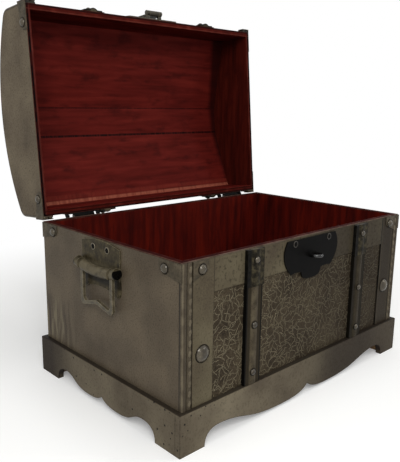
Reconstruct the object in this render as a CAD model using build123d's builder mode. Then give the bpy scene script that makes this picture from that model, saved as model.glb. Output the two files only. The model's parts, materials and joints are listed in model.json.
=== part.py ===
"""Domed treasure chest of thin boards, leathercloth and iron fittings, on a scalloped plinth.

X runs along the width, the front faces -Y and +Z is up. The pieces are drawn about the middle
of the box, and each is moved as it is saved, so that the origin lies on the floor under the
middle of the open chest's reach. The lid is drawn closed and then carried to its open rest
position by the planes that its profiles are drawn on.
"""
from math import acos, cos, hypot, radians, sin, sqrt
from build123d import *
import os

os.makedirs("parts", exist_ok=True)

# Driving dimensions of the chest, all in millimetres
chest_width = 460
chest_depth = 300
rim_height = 228
plinth_height = 53
plinth_proud = 7
board = 7
cover = 1.5
binding = 1
overrun = 20
origin_back = 55

# Carcass
carcass_bottom = 32
floor_lift = 6
floor_thickness = 5
groove_depth = 3
rebate_share = 0.5

# Plinth boards and their scalloped lower edge
foot_width_front = 39
foot_width_side = 45
bay_crown = 21
bay_crown_in = 24
belly_rise_front = 4
belly_rise_side = 7
cusp_rise = 15.5
belly_share = 0.215
flare_share = 0.32
plinth_edge_radius = 1.5
foot_block = 22

# Front leather layout
trim_width = 15
strip_width = 33
strip_thickness = 3
band_height = 42
band_chamfer = 0.75
bead_count = 2
bead_valley = 1.2
trim_rise = 4

# Battens and their caps
batten_inset = 114
batten_width = 28
batten_height = 5.5
rib_width = 13
rib_height = 1.5
cap_overlap = 5
cap_sheet = 1
cap_nail_drop = 13
low_nail_rise = 16
middle_nail_share = 0.43

# Corner patches, nails and studs
patch_reach = 40
patch_drop = 22
patch_sheet = 1.2
patch_round = 7
patch_nail_margin = 10
patch_nail_drop = 10
nail_diameter = 12
nail_rise = 4
tack_diameter = 9
tack_rise = 3
stud_diameter = 21
stud_rise = 5.5
stud_share = 0.362

# Lock plate and staple
lock_half_width = 52
lock_belly = 6
lock_belly_drop = 14
lock_corner_half = 43
lock_corner_drop = 45.5
lock_dip = 1.5
lock_lobe_half = 21
lock_tip = 11
lock_sheet = 2
lock_top_gap = 2
lock_screw_half = 37
lock_screw_drop = 5
staple_down = 24
staple_half = 7
staple_wire_radius = 2.3
staple_leg = 7

# Screw heads
screw_diameter = 8
screw_rise = 1.6
screw_slot_width = 1.2
screw_slot_depth = 0.8

# Lid
lid_side_inset = 4
lid_front_inset = 4
lid_gap = 0.5
lid_crown = 103
lid_arch_radius = 318
lid_shoulder = 12
lid_slat = 8
lid_slat_edge = 6
lid_end_board = 4.5
lid_joint_half = 23
lid_joint_back = 9
lid_open_angle = 95
strap_width = 29
strap_thickness = 1.5
strap_rib_width = 12
strap_rib_rise = 3
strap_cap_rise = 26
strap_cap_flange = 5
strap_nail_rise = 14
arch_nail_lean = 17

# Hinges
hinge_inset = 70
hinge_half = 28
hinge_leaf = 1.8
hinge_reach = 5
hinge_drop = 23
hinge_pin_radius = 1.6
hinge_barrel_radius = 4
hinge_barrel_half = 17
hinge_middle_half = 8.5
hinge_relief = 0.4
hinge_screw_in = 9
hinge_screw_drop = 13
knuckle_gap = 0.3
pin_clearance = 0.05
stop_tab = 2.5
stop_length = 6.3
stop_rise = 2.2
stop_foot = 4.8
stop_root = 8
stop_gap = 0.3

# Hasp
hasp_plate_height = 52
hasp_width = 30
hasp_knuckle = 6
hasp_barrel_radius = 4
hasp_pin_radius = 1.5
hasp_pin_out = 7.8
hasp_pin_rise = 1
hasp_sheet = 2
hasp_tail = 8
hasp_corner_radius = 5
slot_play = 0.7
hasp_screw_half = 33
hasp_screw_rise = 10

# Handles and bails
handle_back_shift = 3
handle_half = 42
handle_sheet = 2
handle_pivot_drop = 38
handle_pivot_out = 5.5
handle_roll_radius = 7
handle_roll_sag = 3
handle_roll_overhang = 2
handle_top_rise = 36.5
handle_shoulder_rise = 31
handle_lobe_drop = 31
handle_arch_drop = 24
handle_lobe_width = 13
handle_screw_half = 15.5
handle_screw_rise = 26
bail_bar_radius = 2.4
bail_end_gap = 6.5
bail_bar = 5
bail_sheet = 4
bail_drop = 53
bail_corner = 4
bail_peak_rise = 7
bail_slot_gap = 0.6

# Faces and levels worked out from the sizes above
half_width = chest_width / 2
half_depth = chest_depth / 2
carcass_x = half_width - cover
carcass_y = half_depth - cover
inner_x = carcass_x - board
inner_y = carcass_y - board
wall_top = rim_height - binding
band_bottom = rim_height - band_height
wall_height = wall_top - plinth_height
front_out = carcass_y + strip_thickness
strip_end = half_width - trim_width
bay_half_width = strip_end - strip_width
batten_offset = half_width - batten_inset
hinge_offset = half_width - hinge_inset
floor_height = carcass_bottom + floor_lift
sides = (("left", -1), ("right", 1))
corners = (("front_left", -1, -1), ("front_right", 1, -1), ("back_left", -1, 1), ("back_right", 1, 1))

lid_width = chest_width - 2 * lid_side_inset
lid_depth = chest_depth - lid_front_inset
lid_x = lid_width / 2
lid_rim = rim_height + lid_gap
lid_middle = half_depth - lid_depth / 2
lid_front = lid_middle - lid_depth / 2
lid_board_x = lid_x - cover
lid_inner_x = lid_board_x - lid_end_board
lid_inner_half = lid_depth / 2 - cover - board
lid_floor = lid_rim + binding
hinge_y = half_depth + hinge_reach
hinge_z = rim_height + lid_gap / 2

# The turn that carries the closed lid's planes to the open rest position
hinge_line = Location((0, hinge_y, hinge_z))
open_turn = hinge_line * Location((0, 0, 0), (-lid_open_angle, 0, 0)) * hinge_line.inverse()

# The move that puts the origin under the middle of the open chest
to_origin = Location((0, -origin_back, 0))


def opened(plane):
    """The plane that a closed-lid plane becomes when the lid stands open."""
    return Plane(open_turn * plane.location)


def stay(plane):
    """A plane of the chest itself, which does not move."""
    return plane


def save(part, name):
    """Move a finished piece to the frame's origin, label it and write its own STEP file."""
    piece = part.moved(to_origin)
    piece.label = name
    export_step(piece, "parts/" + name + ".step")


def slab(xs, ys, zs, mode=Mode.ADD):
    """A board between two corners; each argument is a pair of places, in either order."""
    with BuildSketch(Plane.XY.offset(min(zs))) as plan:
        with Locations((sum(xs) / len(xs), sum(ys) / len(ys))):
            Rectangle(max(xs) - min(xs), max(ys) - min(ys))
    extrude(plan.sketch, amount=max(zs) - min(zs), mode=mode)


def side_face(sign, out, across, height):
    """A plane on a side face, its normal outwards, its local Y upwards."""
    return Plane(origin=(sign * out, across, height), x_dir=(0, sign, 0), z_dir=(sign, 0, 0))


def end_face(sign, out, across, height):
    """The same on the front (-1) or back (1) face."""
    return Plane(origin=(across, sign * out, height), x_dir=(-sign, 0, 0), z_dir=(0, sign, 0))


def across_x(x):
    """A plane square to the width, drawn in Y and Z."""
    return Plane(origin=(x, 0, 0), x_dir=(0, 1, 0), z_dir=(1, 0, 0))


# Nails and screws: heads turned once, then set wherever a plane carries one
def dome(diameter, rise):
    """A head like a slice of a ball, standing on the XY plane."""
    with BuildPart() as head:
        with BuildSketch(Plane.XZ):
            with BuildLine():
                Line((0, 0), (diameter / 2, 0))
                TangentArc((0, rise), (diameter / 2, 0), tangent=(1, 0))
                Line((0, rise), (0, 0))
            make_face()
        revolve(axis=Axis.Z)
    return head.part


nail_head = dome(nail_diameter, nail_rise)
tack_head = dome(tack_diameter, tack_rise)
stud_head = dome(stud_diameter, stud_rise)

with BuildPart() as slotted:
    add(dome(screw_diameter, screw_rise))
    with BuildSketch(Plane.XY.offset(screw_rise - screw_slot_depth)):
        Rectangle(screw_diameter, screw_slot_width)
    extrude(amount=screw_slot_depth, mode=Mode.SUBTRACT)
screw_head = slotted.part


def set_heads(name, places):
    """One node of separate heads; places pairs each head with the plane that it sits on."""
    with BuildPart() as heads:
        for head, plane in places:
            with Locations(plane):
                add(head)
    save(heads.part, name)


# Carcass boards: rebated at the corners and grooved for the floor
rebate = board * rebate_share
floor_x = inner_x + groove_depth
floor_y = inner_y + groove_depth
floor_span = (floor_height, floor_height + floor_thickness)


def cut_floor_groove():
    """The groove that the floor board sits in."""
    slab((-floor_x, floor_x), (-floor_y, floor_y), floor_span, Mode.SUBTRACT)


for name, sign in (("front_board", -1), ("back_board", 1)):
    with BuildPart() as long_board:
        slab((-carcass_x, carcass_x), (sign * carcass_y, sign * inner_y), (carcass_bottom, wall_top))
        for end in (-1, 1):
            slab((end * inner_x, end * carcass_x), (sign * (carcass_y - rebate), sign * inner_y),
                 (carcass_bottom, wall_top), Mode.SUBTRACT)
        cut_floor_groove()
    save(long_board.part, name)

for name, sign in (("left_board", -1), ("right_board", 1)):
    reach = carcass_y - rebate
    with BuildPart() as short_board:
        slab((sign * carcass_x, sign * inner_x), (-reach, reach), (carcass_bottom, wall_top))
        cut_floor_groove()
    save(short_board.part, name)

with BuildPart() as floor_board:
    slab((-floor_x, floor_x), (-floor_y, floor_y), floor_span)
save(floor_board.part, "floor_board")

# Leathercloth turned over the rim
with BuildPart() as rim_binding:
    slab((-half_width, half_width), (-half_depth, half_depth), (wall_top, rim_height))
    slab((-inner_x, inner_x), (-inner_y, inner_y), (wall_top, rim_height), Mode.SUBTRACT)
save(rim_binding.part, "rim_binding")

# Plinth: the front and back boards cover the ends of the side boards, and the lower edges are cut
# in two bays that meet at a cusp
plinth_x = half_width + plinth_proud
plinth_y = half_depth + plinth_proud


def scallop(half_length, foot, belly_rise):
    """A plinth board's elevation, drawn about its middle from the floor up."""
    toe_at = half_length - foot
    crown_at = toe_at - bay_crown_in
    belly_at = half_length * belly_share
    flare = ((crown_at + belly_at) / 2, belly_rise + (bay_crown - belly_rise) * flare_share)
    for end in (-1, 1):
        belly = (end * belly_at, belly_rise)
        crown = (end * crown_at, bay_crown)
        toe = (end * toe_at, 0)
        Spline((0, cusp_rise), belly, tangents=[(end, -1), (end, 0)])
        Spline(belly, (end * flare[0], flare[1]), crown, tangents=[(end, 0), (end, 0)])
        Spline(crown, toe, tangents=[(end, 0), (0, -1)])
        Polyline(toe, (end * half_length, 0), (end * half_length, plinth_height))
    Line((-half_length, plinth_height), (half_length, plinth_height))


def plinth_board(elevation, xs, ys, half_length, foot, belly_rise, ends_show):
    """One plinth board cut to its scalloped elevation, its top edges rounded where they show."""
    with BuildPart() as apron:
        slab(xs, ys, (0, plinth_height))
        with BuildSketch(elevation):
            with BuildLine():
                scallop(half_length, foot, belly_rise)
            make_face()
        extrude(amount=plinth_x, both=True, mode=Mode.INTERSECT)
        top_edges = apron.edges().group_by(Axis.Z)[-1].sort_by_distance((0, 0, plinth_height))
        fillet(top_edges[1:] if ends_show else top_edges[1], plinth_edge_radius)
    return apron.part


for name, sign in (("apron_front", -1), ("apron_back", 1)):
    long_apron = plinth_board(Plane.XZ, (-plinth_x, plinth_x), (sign * plinth_y, sign * carcass_y),
                              plinth_x, foot_width_front, belly_rise_front, True)
    save(long_apron, name)

for name, sign in (("apron_left", -1), ("apron_right", 1)):
    short_apron = plinth_board(Plane.YZ, (sign * plinth_x, sign * carcass_x), (-carcass_y, carcass_y),
                               plinth_y, foot_width_side, belly_rise_side, False)
    save(short_apron, name)

# Glue blocks that carry the carcass inside the four feet
with BuildPart() as foot_blocks:
    for corner, sx, sy in corners:
        slab((sx * carcass_x, sx * (carcass_x - foot_block)),
             (sy * carcass_y, sy * (carcass_y - foot_block)), (0, carcass_bottom))
save(foot_blocks.part, "foot_blocks")

# Leathercloth on the sides and back
for side, sign in sides:
    with BuildPart() as side_cover:
        slab((sign * carcass_x, sign * half_width), (-carcass_y, half_depth), (plinth_height, wall_top))
    save(side_cover.part, side + "_cover")

with BuildPart() as back_cover:
    slab((-carcass_x, carcass_x), (carcass_y, half_depth), (plinth_height, wall_top))
save(back_cover.part, "back_cover")

# Front: crackled leather in the bays, a plain band above it and a strip beside each corner
with BuildPart() as crackle_panel:
    slab((-bay_half_width, bay_half_width), (-half_depth, -carcass_y), (plinth_height, band_bottom))
save(crackle_panel.part, "crackle_panel")

with BuildPart() as top_band:
    slab((-bay_half_width, bay_half_width), (-front_out, -carcass_y), (band_bottom, wall_top))
    lower_edges = top_band.edges().filter_by(Axis.X).group_by(Axis.Z)[0]
    chamfer(lower_edges.sort_by(Axis.Y)[0], band_chamfer)
save(top_band.part, "top_band")

with BuildPart() as corner_strips:
    for side, sign in sides:
        slab((sign * bay_half_width, sign * strip_end), (-front_out, -carcass_y), (plinth_height, wall_top))
save(corner_strips.part, "corner_strips")


def beads(width, rise):
    """A trim's section: a flat back at zero and a row of rounded beads in front."""
    bead = width / bead_count
    Polyline((0, bead_valley), (0, 0), (width, 0), (width, bead_valley))
    for index in range(bead_count):
        start = index * bead
        ThreePointArc((start, bead_valley), (start + bead / 2, rise), (start + bead, bead_valley))


with BuildPart() as edge_trims:
    for side, sign in sides:
        origin = (sign * half_width, -carcass_y, plinth_height)
        with BuildSketch(Plane(origin=origin, x_dir=(-sign, 0, 0), z_dir=(0, 0, sign))):
            with BuildLine():
                beads(trim_width, trim_rise)
            make_face()
        extrude(amount=sign * wall_height)
save(edge_trims.part, "edge_trims")


# Corner patches: a leaf on each side of a corner, rounded about its nail
def patch_leaf(plane, start, reach, drop):
    """One leaf, from start to reach along the face; the sign of drop says which way it hangs."""
    along = patch_round if reach > start else -patch_round
    down = patch_round if drop > 0 else -patch_round
    with BuildSketch(plane) as leaf:
        with BuildLine():
            Polyline((start, drop), (start, 0), (reach, 0), (reach, drop - 2 * down))
            TangentArc((reach, drop - 2 * down), (reach - along, drop - down), tangent=(0, down))
            Line((reach - along, drop - down), (start, drop))
        make_face()
    extrude(leaf.sketch, amount=patch_sheet)


def corner_patch(sx, sy, faces, rim, starts, end_reach, drop, move):
    """A patch on one corner; faces and starts pair the side's value with the end's."""
    side_out, end_out = faces
    turn = sx * sy
    with BuildPart() as patch:
        side_plane = side_face(sx, side_out, sy * (end_out + patch_sheet), rim)
        patch_leaf(move(side_plane), -turn * starts[0], -turn * patch_reach, drop)
        end_plane = end_face(sy, end_out, sx * (side_out + patch_sheet), rim)
        patch_leaf(move(end_plane), turn * starts[1], turn * end_reach, drop)
    return patch.part


# In front the patch is cut away where the corner's trim passes over it
for corner, sx, sy in corners:
    faces = (half_width, half_depth if sy > 0 else front_out)
    starts = (0, 0) if sy > 0 else (patch_sheet, patch_sheet + trim_width)
    patch = corner_patch(sx, sy, faces, wall_top, starts, patch_reach, -patch_drop, stay)
    save(patch, "patch_" + corner)


# Battens with a rounded rib, notched over the top band, and the sheet caps on their heads
def ribbed(width, height, rib, rise, grow=0):
    """A ribbed strip's section, from its back at zero; grow is the sheet that wraps it."""
    half = width / 2 + grow
    rib_half = rib / 2 + grow
    top = height + grow
    Polyline((-rib_half, top), (-half, top), (-half, 0), (half, 0), (half, top), (rib_half, top))
    ThreePointArc((rib_half, top), (0, top + rise), (-rib_half, top))


def batten_section(grow=0):
    """The batten's own section, or that of its cap's outside."""
    ribbed(batten_width, batten_height, rib_width, rib_height, grow)


rib_out = half_depth + batten_height + rib_height
cap_bottom = band_bottom - cap_overlap
for side, sign in sides:
    batten_foot = (sign * batten_offset, -half_depth, plinth_height)
    section = Plane(origin=batten_foot, x_dir=(-1, 0, 0), z_dir=(0, 0, 1))
    with BuildPart() as batten:
        with BuildSketch(section):
            with BuildLine():
                batten_section()
            make_face()
        extrude(amount=wall_height)
        slab((-half_width, half_width), (-front_out, 0), (band_bottom, rim_height), Mode.SUBTRACT)
    save(batten.part, "batten_" + side)

    with BuildPart() as batten_cap:
        with BuildSketch(section.offset(cap_bottom - plinth_height)):
            with BuildLine():
                batten_section(cap_sheet)
            make_face()
            with BuildLine():
                batten_section()
            make_face(mode=Mode.SUBTRACT)
        extrude(amount=wall_top - cap_bottom)
        slab((-half_width, half_width), (-front_out, 0), (0, rim_height), Mode.SUBTRACT)
    save(batten_cap.part, "batten_cap_" + side)


# Lock plate and hasp plate share one lobed outline, drawn from its straight edge to its tip
lock_drop = lock_corner_drop + lock_tip


def lobed_plate(plane, scale, thickness):
    """A sheet plate, its half outline mirrored about the middle."""
    top = (lock_half_width * scale, 0)
    belly = ((lock_half_width + lock_belly) * scale, -lock_belly_drop * scale)
    corner = (lock_corner_half * scale, -lock_corner_drop * scale)
    lobe = (lock_lobe_half * scale, -lock_corner_drop * scale)
    dip = ((corner[0] + lobe[0]) / 2, (lock_dip - lock_corner_drop) * scale)
    tip = (0, -lock_drop * scale)
    with BuildSketch(plane) as plate:
        with BuildLine():
            Line((0, 0), top)
            Spline(top, belly, corner)
            ThreePointArc(corner, dip, lobe)
            Spline(lobe, tip, tangents=[(0, -1), (-1, 0)])
            Line(tip, (0, 0))
        make_face()
        mirror(about=Plane.YZ)
    extrude(plate.sketch, amount=thickness)


lock_top = wall_top - lock_top_gap
lock_out = front_out + lock_sheet
with BuildPart() as lock_plate:
    lobed_plate(end_face(-1, front_out, 0, lock_top), 1, lock_sheet)
save(lock_plate.part, "lock_plate")

staple_height = lock_top - staple_down
staple_bend = lock_out + staple_leg
with BuildPart() as staple:
    with BuildLine() as staple_path:
        Line((-staple_half, -lock_out, staple_height), (-staple_half, -staple_bend, staple_height))
        ThreePointArc((-staple_half, -staple_bend, staple_height),
                      (0, -staple_bend - staple_half, staple_height),
                      (staple_half, -staple_bend, staple_height))
        Line((staple_half, -staple_bend, staple_height), (staple_half, -lock_out, staple_height))
    with BuildSketch(Plane(origin=(-staple_half, -lock_out, staple_height), z_dir=(0, -1, 0))):
        Circle(staple_wire_radius)
    sweep(path=staple_path.line)
save(staple.part, "staple")


# Handles: a lobed back plate with a swagged roll, and the bail that turns in it
def handle_outline():
    """The back plate about the pivot line: bowed top, a lobe at each side, an arch between."""
    inner = handle_half - handle_lobe_width
    arch_end = -(handle_arch_drop + handle_lobe_drop) / 2
    ThreePointArc((-handle_half, handle_shoulder_rise), (0, handle_top_rise),
                  (handle_half, handle_shoulder_rise))
    for end in (-1, 1):
        waist = (end * handle_half, -handle_roll_radius)
        Line((end * handle_half, handle_shoulder_rise), waist)
        Spline(waist, (end * (handle_half + inner) / 2, -handle_lobe_drop), (end * inner, arch_end))
    ThreePointArc((-inner, arch_end), (0, -handle_arch_drop), (inner, arch_end))


def bail_outline(inset):
    """The bail's frame, set in from its outer edge, with the peak in its lower bar."""
    half = bail_half - inset
    low = inset - bail_drop
    Polyline((-half, 0), (-half, low + bail_corner), (bail_corner - half, low),
             (0, low + bail_peak_rise), (half - bail_corner, low), (half, low + bail_corner),
             (half, 0), close=True)


handle_pivot_height = rim_height - handle_pivot_drop
bail_half = handle_half - bail_end_gap
roll_half = handle_half + handle_roll_overhang
slot_in = bail_half - bail_bar - bail_slot_gap
slot_out = bail_half + bail_slot_gap
plate_out = half_width + handle_sheet
pivot_out = plate_out + handle_pivot_out
for side, sign in sides:
    pivot_plane = side_face(sign, pivot_out, handle_back_shift, handle_pivot_height)
    bore_plane = Plane(origin=pivot_plane.origin, z_dir=(0, 1, 0))
    with BuildPart() as handle_plate:
        with BuildSketch(pivot_plane.offset(-handle_pivot_out - handle_sheet)):
            with BuildLine():
                handle_outline()
            make_face()
        extrude(amount=handle_sheet)
        with BuildLine(pivot_plane) as roll_path:
            ThreePointArc((-roll_half, handle_roll_sag), (0, -handle_roll_sag), (roll_half, handle_roll_sag))
        with BuildSketch(Plane(origin=roll_path.line @ 0, z_dir=roll_path.line % 0)):
            Circle(handle_roll_radius)
        sweep(path=roll_path.line)
        slab((0, sign * half_width), (-half_depth, half_depth), (0, rim_height), Mode.SUBTRACT)
        with BuildSketch(pivot_plane.offset(-handle_pivot_out)):
            with Locations(((slot_in + slot_out) / 2, 0), (-(slot_in + slot_out) / 2, 0)):
                Rectangle(slot_out - slot_in, overrun * 2)
        extrude(amount=overrun, mode=Mode.SUBTRACT)
        with BuildSketch(bore_plane):
            Circle(bail_bar_radius + pin_clearance)
        extrude(amount=roll_half + overrun, both=True, mode=Mode.SUBTRACT)
    save(handle_plate.part, "handle_plate_" + side)

    with BuildPart() as bail:
        with BuildSketch(pivot_plane.offset(-bail_sheet / 2)):
            with BuildLine():
                bail_outline(0)
            make_face()
            with BuildLine():
                bail_outline(bail_bar)
            make_face(mode=Mode.SUBTRACT)
        extrude(amount=bail_sheet)
        with BuildSketch(bore_plane):
            Circle(bail_bar_radius)
        extrude(amount=roll_half - bail_slot_gap, both=True)
    save(bail.part, "bail_" + side)


# Hinges: two leaves knuckled on one pin, and the tabs that stop the lid when it stands open
def barrel(move, spans, radius, mode=Mode.ADD):
    """Round lengths of the hinge line; spans are pairs of places along the width."""
    for start, end in spans:
        section = Plane(origin=(start, hinge_y, hinge_z), x_dir=(0, 1, 0), z_dir=(1, 0, 0))
        with BuildSketch(move(section)) as ring:
            Circle(radius)
        extrude(ring.sketch, amount=end - start, mode=mode)


def widened(spans, gap):
    """The same spans with a gap added at both ends."""
    return [(start - gap, end + gap) for start, end in spans]


def stop_tab_outline():
    """A tab as it stands when open, about the hinge line; its long edge meets the chest leaf."""
    stop_y = hinge_leaf + stop_gap - hinge_reach
    leaf_core = hinge_reach - hinge_leaf / 2
    Polyline((stop_y, stop_rise), (stop_y, -stop_length), (stop_y + stop_foot, -stop_length),
             (stop_root, leaf_core - hinge_relief), (hinge_leaf / 2, leaf_core), close=True)


leaf_out = half_depth + hinge_leaf
relief_radius = hinge_barrel_radius + hinge_relief
bore_radius = hinge_pin_radius + pin_clearance
for side, sign in sides:
    centre = sign * hinge_offset
    ends = (centre - hinge_half, centre + hinge_half)
    outer = [(centre - hinge_barrel_half, centre - hinge_middle_half - knuckle_gap),
             (centre + hinge_middle_half + knuckle_gap, centre + hinge_barrel_half)]
    middle = [(centre - hinge_middle_half, centre + hinge_middle_half)]
    tabs = [(ends[0], ends[0] + stop_tab), (ends[1] - stop_tab, ends[1])]

    with BuildPart() as chest_leaf:
        slab(ends, (half_depth, leaf_out), (rim_height - hinge_drop, rim_height))
        barrel(stay, outer, hinge_barrel_radius)
        barrel(stay, widened(middle, knuckle_gap), relief_radius, Mode.SUBTRACT)
        barrel(stay, widened(tabs, stop_gap), relief_radius, Mode.SUBTRACT)
        barrel(stay, outer, bore_radius, Mode.SUBTRACT)
    save(chest_leaf.part, "hinge_chest_leaf_" + side)

    with BuildPart() as lid_leaf:
        with BuildSketch(opened(end_face(1, half_depth, centre, lid_rim + hinge_drop / 2))):
            Rectangle(hinge_half * 2, hinge_drop)
        extrude(amount=hinge_leaf)
        barrel(opened, widened(outer, knuckle_gap), relief_radius, Mode.SUBTRACT)
        barrel(opened, middle, hinge_barrel_radius)
        for start, end in tabs:
            with BuildSketch(Plane(origin=(start, hinge_y, hinge_z), x_dir=(0, 1, 0), z_dir=(1, 0, 0))):
                with BuildLine():
                    stop_tab_outline()
                make_face()
            extrude(amount=end - start)
        barrel(opened, middle, bore_radius, Mode.SUBTRACT)
    save(lid_leaf.part, "hinge_lid_leaf_" + side)

with BuildPart() as hinge_pins:
    for side, sign in sides:
        centre = sign * hinge_offset
        barrel(stay, [(centre - hinge_barrel_half, centre + hinge_barrel_half)], hinge_pin_radius)
save(hinge_pins.part, "hinge_pins")

# The lid's section in Y and Z: upright walls, rounded shoulders and a shallow arch
arch_centre = lid_rim + lid_crown - lid_arch_radius
shoulder_half = lid_depth / 2 - lid_shoulder
shoulder_lean = acos(shoulder_half / (lid_arch_radius - lid_shoulder))
shoulder_height = arch_centre + sqrt((lid_arch_radius - lid_shoulder) ** 2 - shoulder_half ** 2)


def lid_outline(out, foot):
    """The outline grown outwards, from the front foot over the arch to the back foot."""
    curl = lid_shoulder + out
    arch = lid_arch_radius + out
    half = lid_depth / 2 + out

    def at(side, across, height):
        return (lid_middle + side * across, height)

    for side in (-1, 1):
        wall_end = at(side, half, shoulder_height)
        curl_middle = at(side, shoulder_half + curl * cos(shoulder_lean / 2),
                         shoulder_height + curl * sin(shoulder_lean / 2))
        arch_end = at(side, arch * cos(shoulder_lean), arch_centre + arch * sin(shoulder_lean))
        Line(at(side, half, foot), wall_end)
        ThreePointArc(wall_end, curl_middle, arch_end)
    ThreePointArc(at(-1, arch * cos(shoulder_lean), arch_end[1]), at(0, 0, arch_centre + arch), arch_end)


# The slats' inner faces: from their thickness at the crown to that beside the walls
slat_crown = lid_rim + lid_crown - cover - lid_slat
slat_foot = arch_centre + sqrt((lid_arch_radius - cover) ** 2 - lid_inner_half ** 2) - lid_slat_edge
front_joint = lid_middle + lid_joint_back - lid_joint_half
back_joint = lid_middle + lid_joint_back + lid_joint_half


def lid_profile(out, mode=Mode.ADD):
    """The outline as a face, closed along the rim."""
    with BuildLine() as outline:
        lid_outline(out, lid_floor)
        Line((lid_front - out, lid_floor), (half_depth + out, lid_floor))
    make_face(outline.edges(), mode=mode)


def lid_cavity(mode=Mode.ADD):
    """The inside of the lid: upright walls and three flats, one for each slat."""
    with BuildLine() as outline:
        Polyline((lid_middle - lid_inner_half, lid_floor),
                 (lid_middle - lid_inner_half, slat_foot),
                 (front_joint, slat_crown), (back_joint, slat_crown),
                 (lid_middle + lid_inner_half, slat_foot),
                 (lid_middle + lid_inner_half, lid_floor), close=True)
    make_face(outline.edges(), mode=mode)


def lid_plane(x):
    """A plane across the open lid, still drawn in the closed lid's Y and Z."""
    return opened(across_x(x))


# Lid boards and slats: the shell's section cut into pieces by a window in Y and Z
wall_span = (lid_floor, shoulder_height)
slat_span = (shoulder_height, lid_rim + lid_crown)
lid_pieces = (
    ("lid_front_board", (lid_front, lid_middle), wall_span),
    ("lid_back_board", (lid_middle, half_depth), wall_span),
    ("lid_slat_front", (lid_front, front_joint), slat_span),
    ("lid_slat_middle", (front_joint, back_joint), slat_span),
    ("lid_slat_back", (back_joint, half_depth), slat_span),
)
for name, ys, zs in lid_pieces:
    with BuildPart() as lid_piece:
        with BuildSketch(lid_plane(-lid_board_x)):
            lid_profile(-cover)
            lid_cavity(Mode.SUBTRACT)
            with Locations((sum(ys) / len(ys), sum(zs) / len(zs))):
                Rectangle(ys[1] - ys[0], zs[1] - zs[0], mode=Mode.INTERSECT)
        extrude(amount=lid_board_x * 2)
    save(lid_piece.part, name)

# Lid ends, their leathercloth and the leathercloth over the arch
for side, sign in sides:
    with BuildPart() as lid_end:
        with BuildSketch(lid_plane(sign * lid_inner_x)):
            lid_cavity()
        extrude(amount=sign * lid_end_board)
    save(lid_end.part, "lid_end_" + side)

    with BuildPart() as lid_end_cover:
        with BuildSketch(lid_plane(sign * lid_board_x)):
            lid_profile(0)
        extrude(amount=sign * cover)
    save(lid_end_cover.part, "lid_end_cover_" + side)

with BuildPart() as lid_cover:
    with BuildSketch(lid_plane(-lid_board_x)):
        lid_profile(0)
        lid_profile(-cover, Mode.SUBTRACT)
    extrude(amount=lid_board_x * 2)
save(lid_cover.part, "lid_cover")

with BuildPart() as lid_rim_binding:
    with BuildSketch(opened(Plane.XY.offset(lid_rim))):
        with Locations((0, lid_middle)):
            Rectangle(lid_width, lid_depth)
            Rectangle(lid_inner_x * 2, lid_inner_half * 2, mode=Mode.SUBTRACT)
    extrude(amount=binding)
save(lid_rim_binding.part, "lid_rim_binding")


# Straps and end trims run over the arch along its own outline
def over_the_arch(start, sign, draw):
    """Sweep a section, drawn from a place along the width, over the whole lid."""
    with BuildLine(lid_plane(start)) as arch_path:
        lid_outline(0, lid_rim)
    foot = Plane(origin=(start, lid_front, lid_rim), x_dir=(-sign, 0, 0), z_dir=(0, 0, sign))
    with BuildSketch(opened(foot)) as section:
        with BuildLine():
            draw()
        make_face()
    sweep(section.sketch, path=Wire(arch_path.edges()))


def strap_section():
    """A lid strap: a thin band with a rounded rib down its middle."""
    ribbed(strap_width, strap_thickness, strap_rib_width, strap_rib_rise)


def trim_section():
    """A lid end trim, beaded like the trims on the chest's corners."""
    beads(trim_width, trim_rise)


for side, sign in sides:
    with BuildPart() as lid_strap:
        over_the_arch(sign * batten_offset, 1, strap_section)
    save(lid_strap.part, "lid_strap_" + side)

# Sheet caps on the straps' ends; those in front spread into a flange, as the hinges leave no room behind
with BuildPart() as lid_strap_caps:
    for side, sign in sides:
        for face, out, flange in ((-1, lid_front, strap_cap_flange), (1, half_depth, cap_sheet)):
            origin = (sign * batten_offset, out, lid_rim)
            with BuildSketch(opened(Plane(origin=origin, x_dir=(face, 0, 0), z_dir=(0, 0, 1)))):
                with BuildLine():
                    ribbed(strap_width, strap_thickness, strap_rib_width, strap_rib_rise, cap_sheet)
                make_face()
                Rectangle(strap_width + 2 * flange, cap_sheet, align=(Align.CENTER, Align.MIN))
                with BuildLine():
                    strap_section()
                make_face(mode=Mode.SUBTRACT)
            extrude(amount=strap_cap_rise)
save(lid_strap_caps.part, "lid_strap_caps")

with BuildPart() as lid_edge_trims:
    for side, sign in sides:
        over_the_arch(sign * lid_x, sign, trim_section)
save(lid_edge_trims.part, "lid_edge_trims")

with BuildPart() as lid_patches:
    for corner, sx, sy in corners:
        trim_out = trim_rise + (half_depth if sy > 0 else -lid_front)
        leaves = trim_width + patch_sheet
        add(corner_patch(sx, sy, (lid_x, trim_out), lid_rim, (0, 0), leaves, patch_drop, opened))
save(lid_patches.part, "lid_patches")

# Hasp: a plate on the lid's front, a pin, and the slotted tongue folded back over the plate
hasp_y = lid_front - hasp_sheet - hasp_pin_out
hasp_z = lid_rim + hasp_pin_rise
tongue_half = hasp_width / 2
tongue_knuckle = tongue_half - hasp_knuckle
staple_drop = hasp_z - staple_height
staple_reach = staple_bend + staple_half + hasp_y
slot_near = staple_drop - staple_wire_radius - slot_play
slot_far = hypot(staple_drop, staple_reach) + staple_wire_radius + slot_play
slot_half = staple_half + staple_wire_radius + slot_play


def hasp_section(x):
    """A plane across the hasp's pin line, square to the width."""
    return opened(Plane(origin=(x, hasp_y, hasp_z), x_dir=(0, 1, 0), z_dir=(1, 0, 0)))


def hasp_rod(spans, radius, mode=Mode.ADD):
    """Round lengths of the hasp's own pin line."""
    for start, end in spans:
        with BuildSketch(hasp_section(start)) as ring:
            Circle(radius)
        extrude(ring.sketch, amount=end - start, mode=mode)


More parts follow.
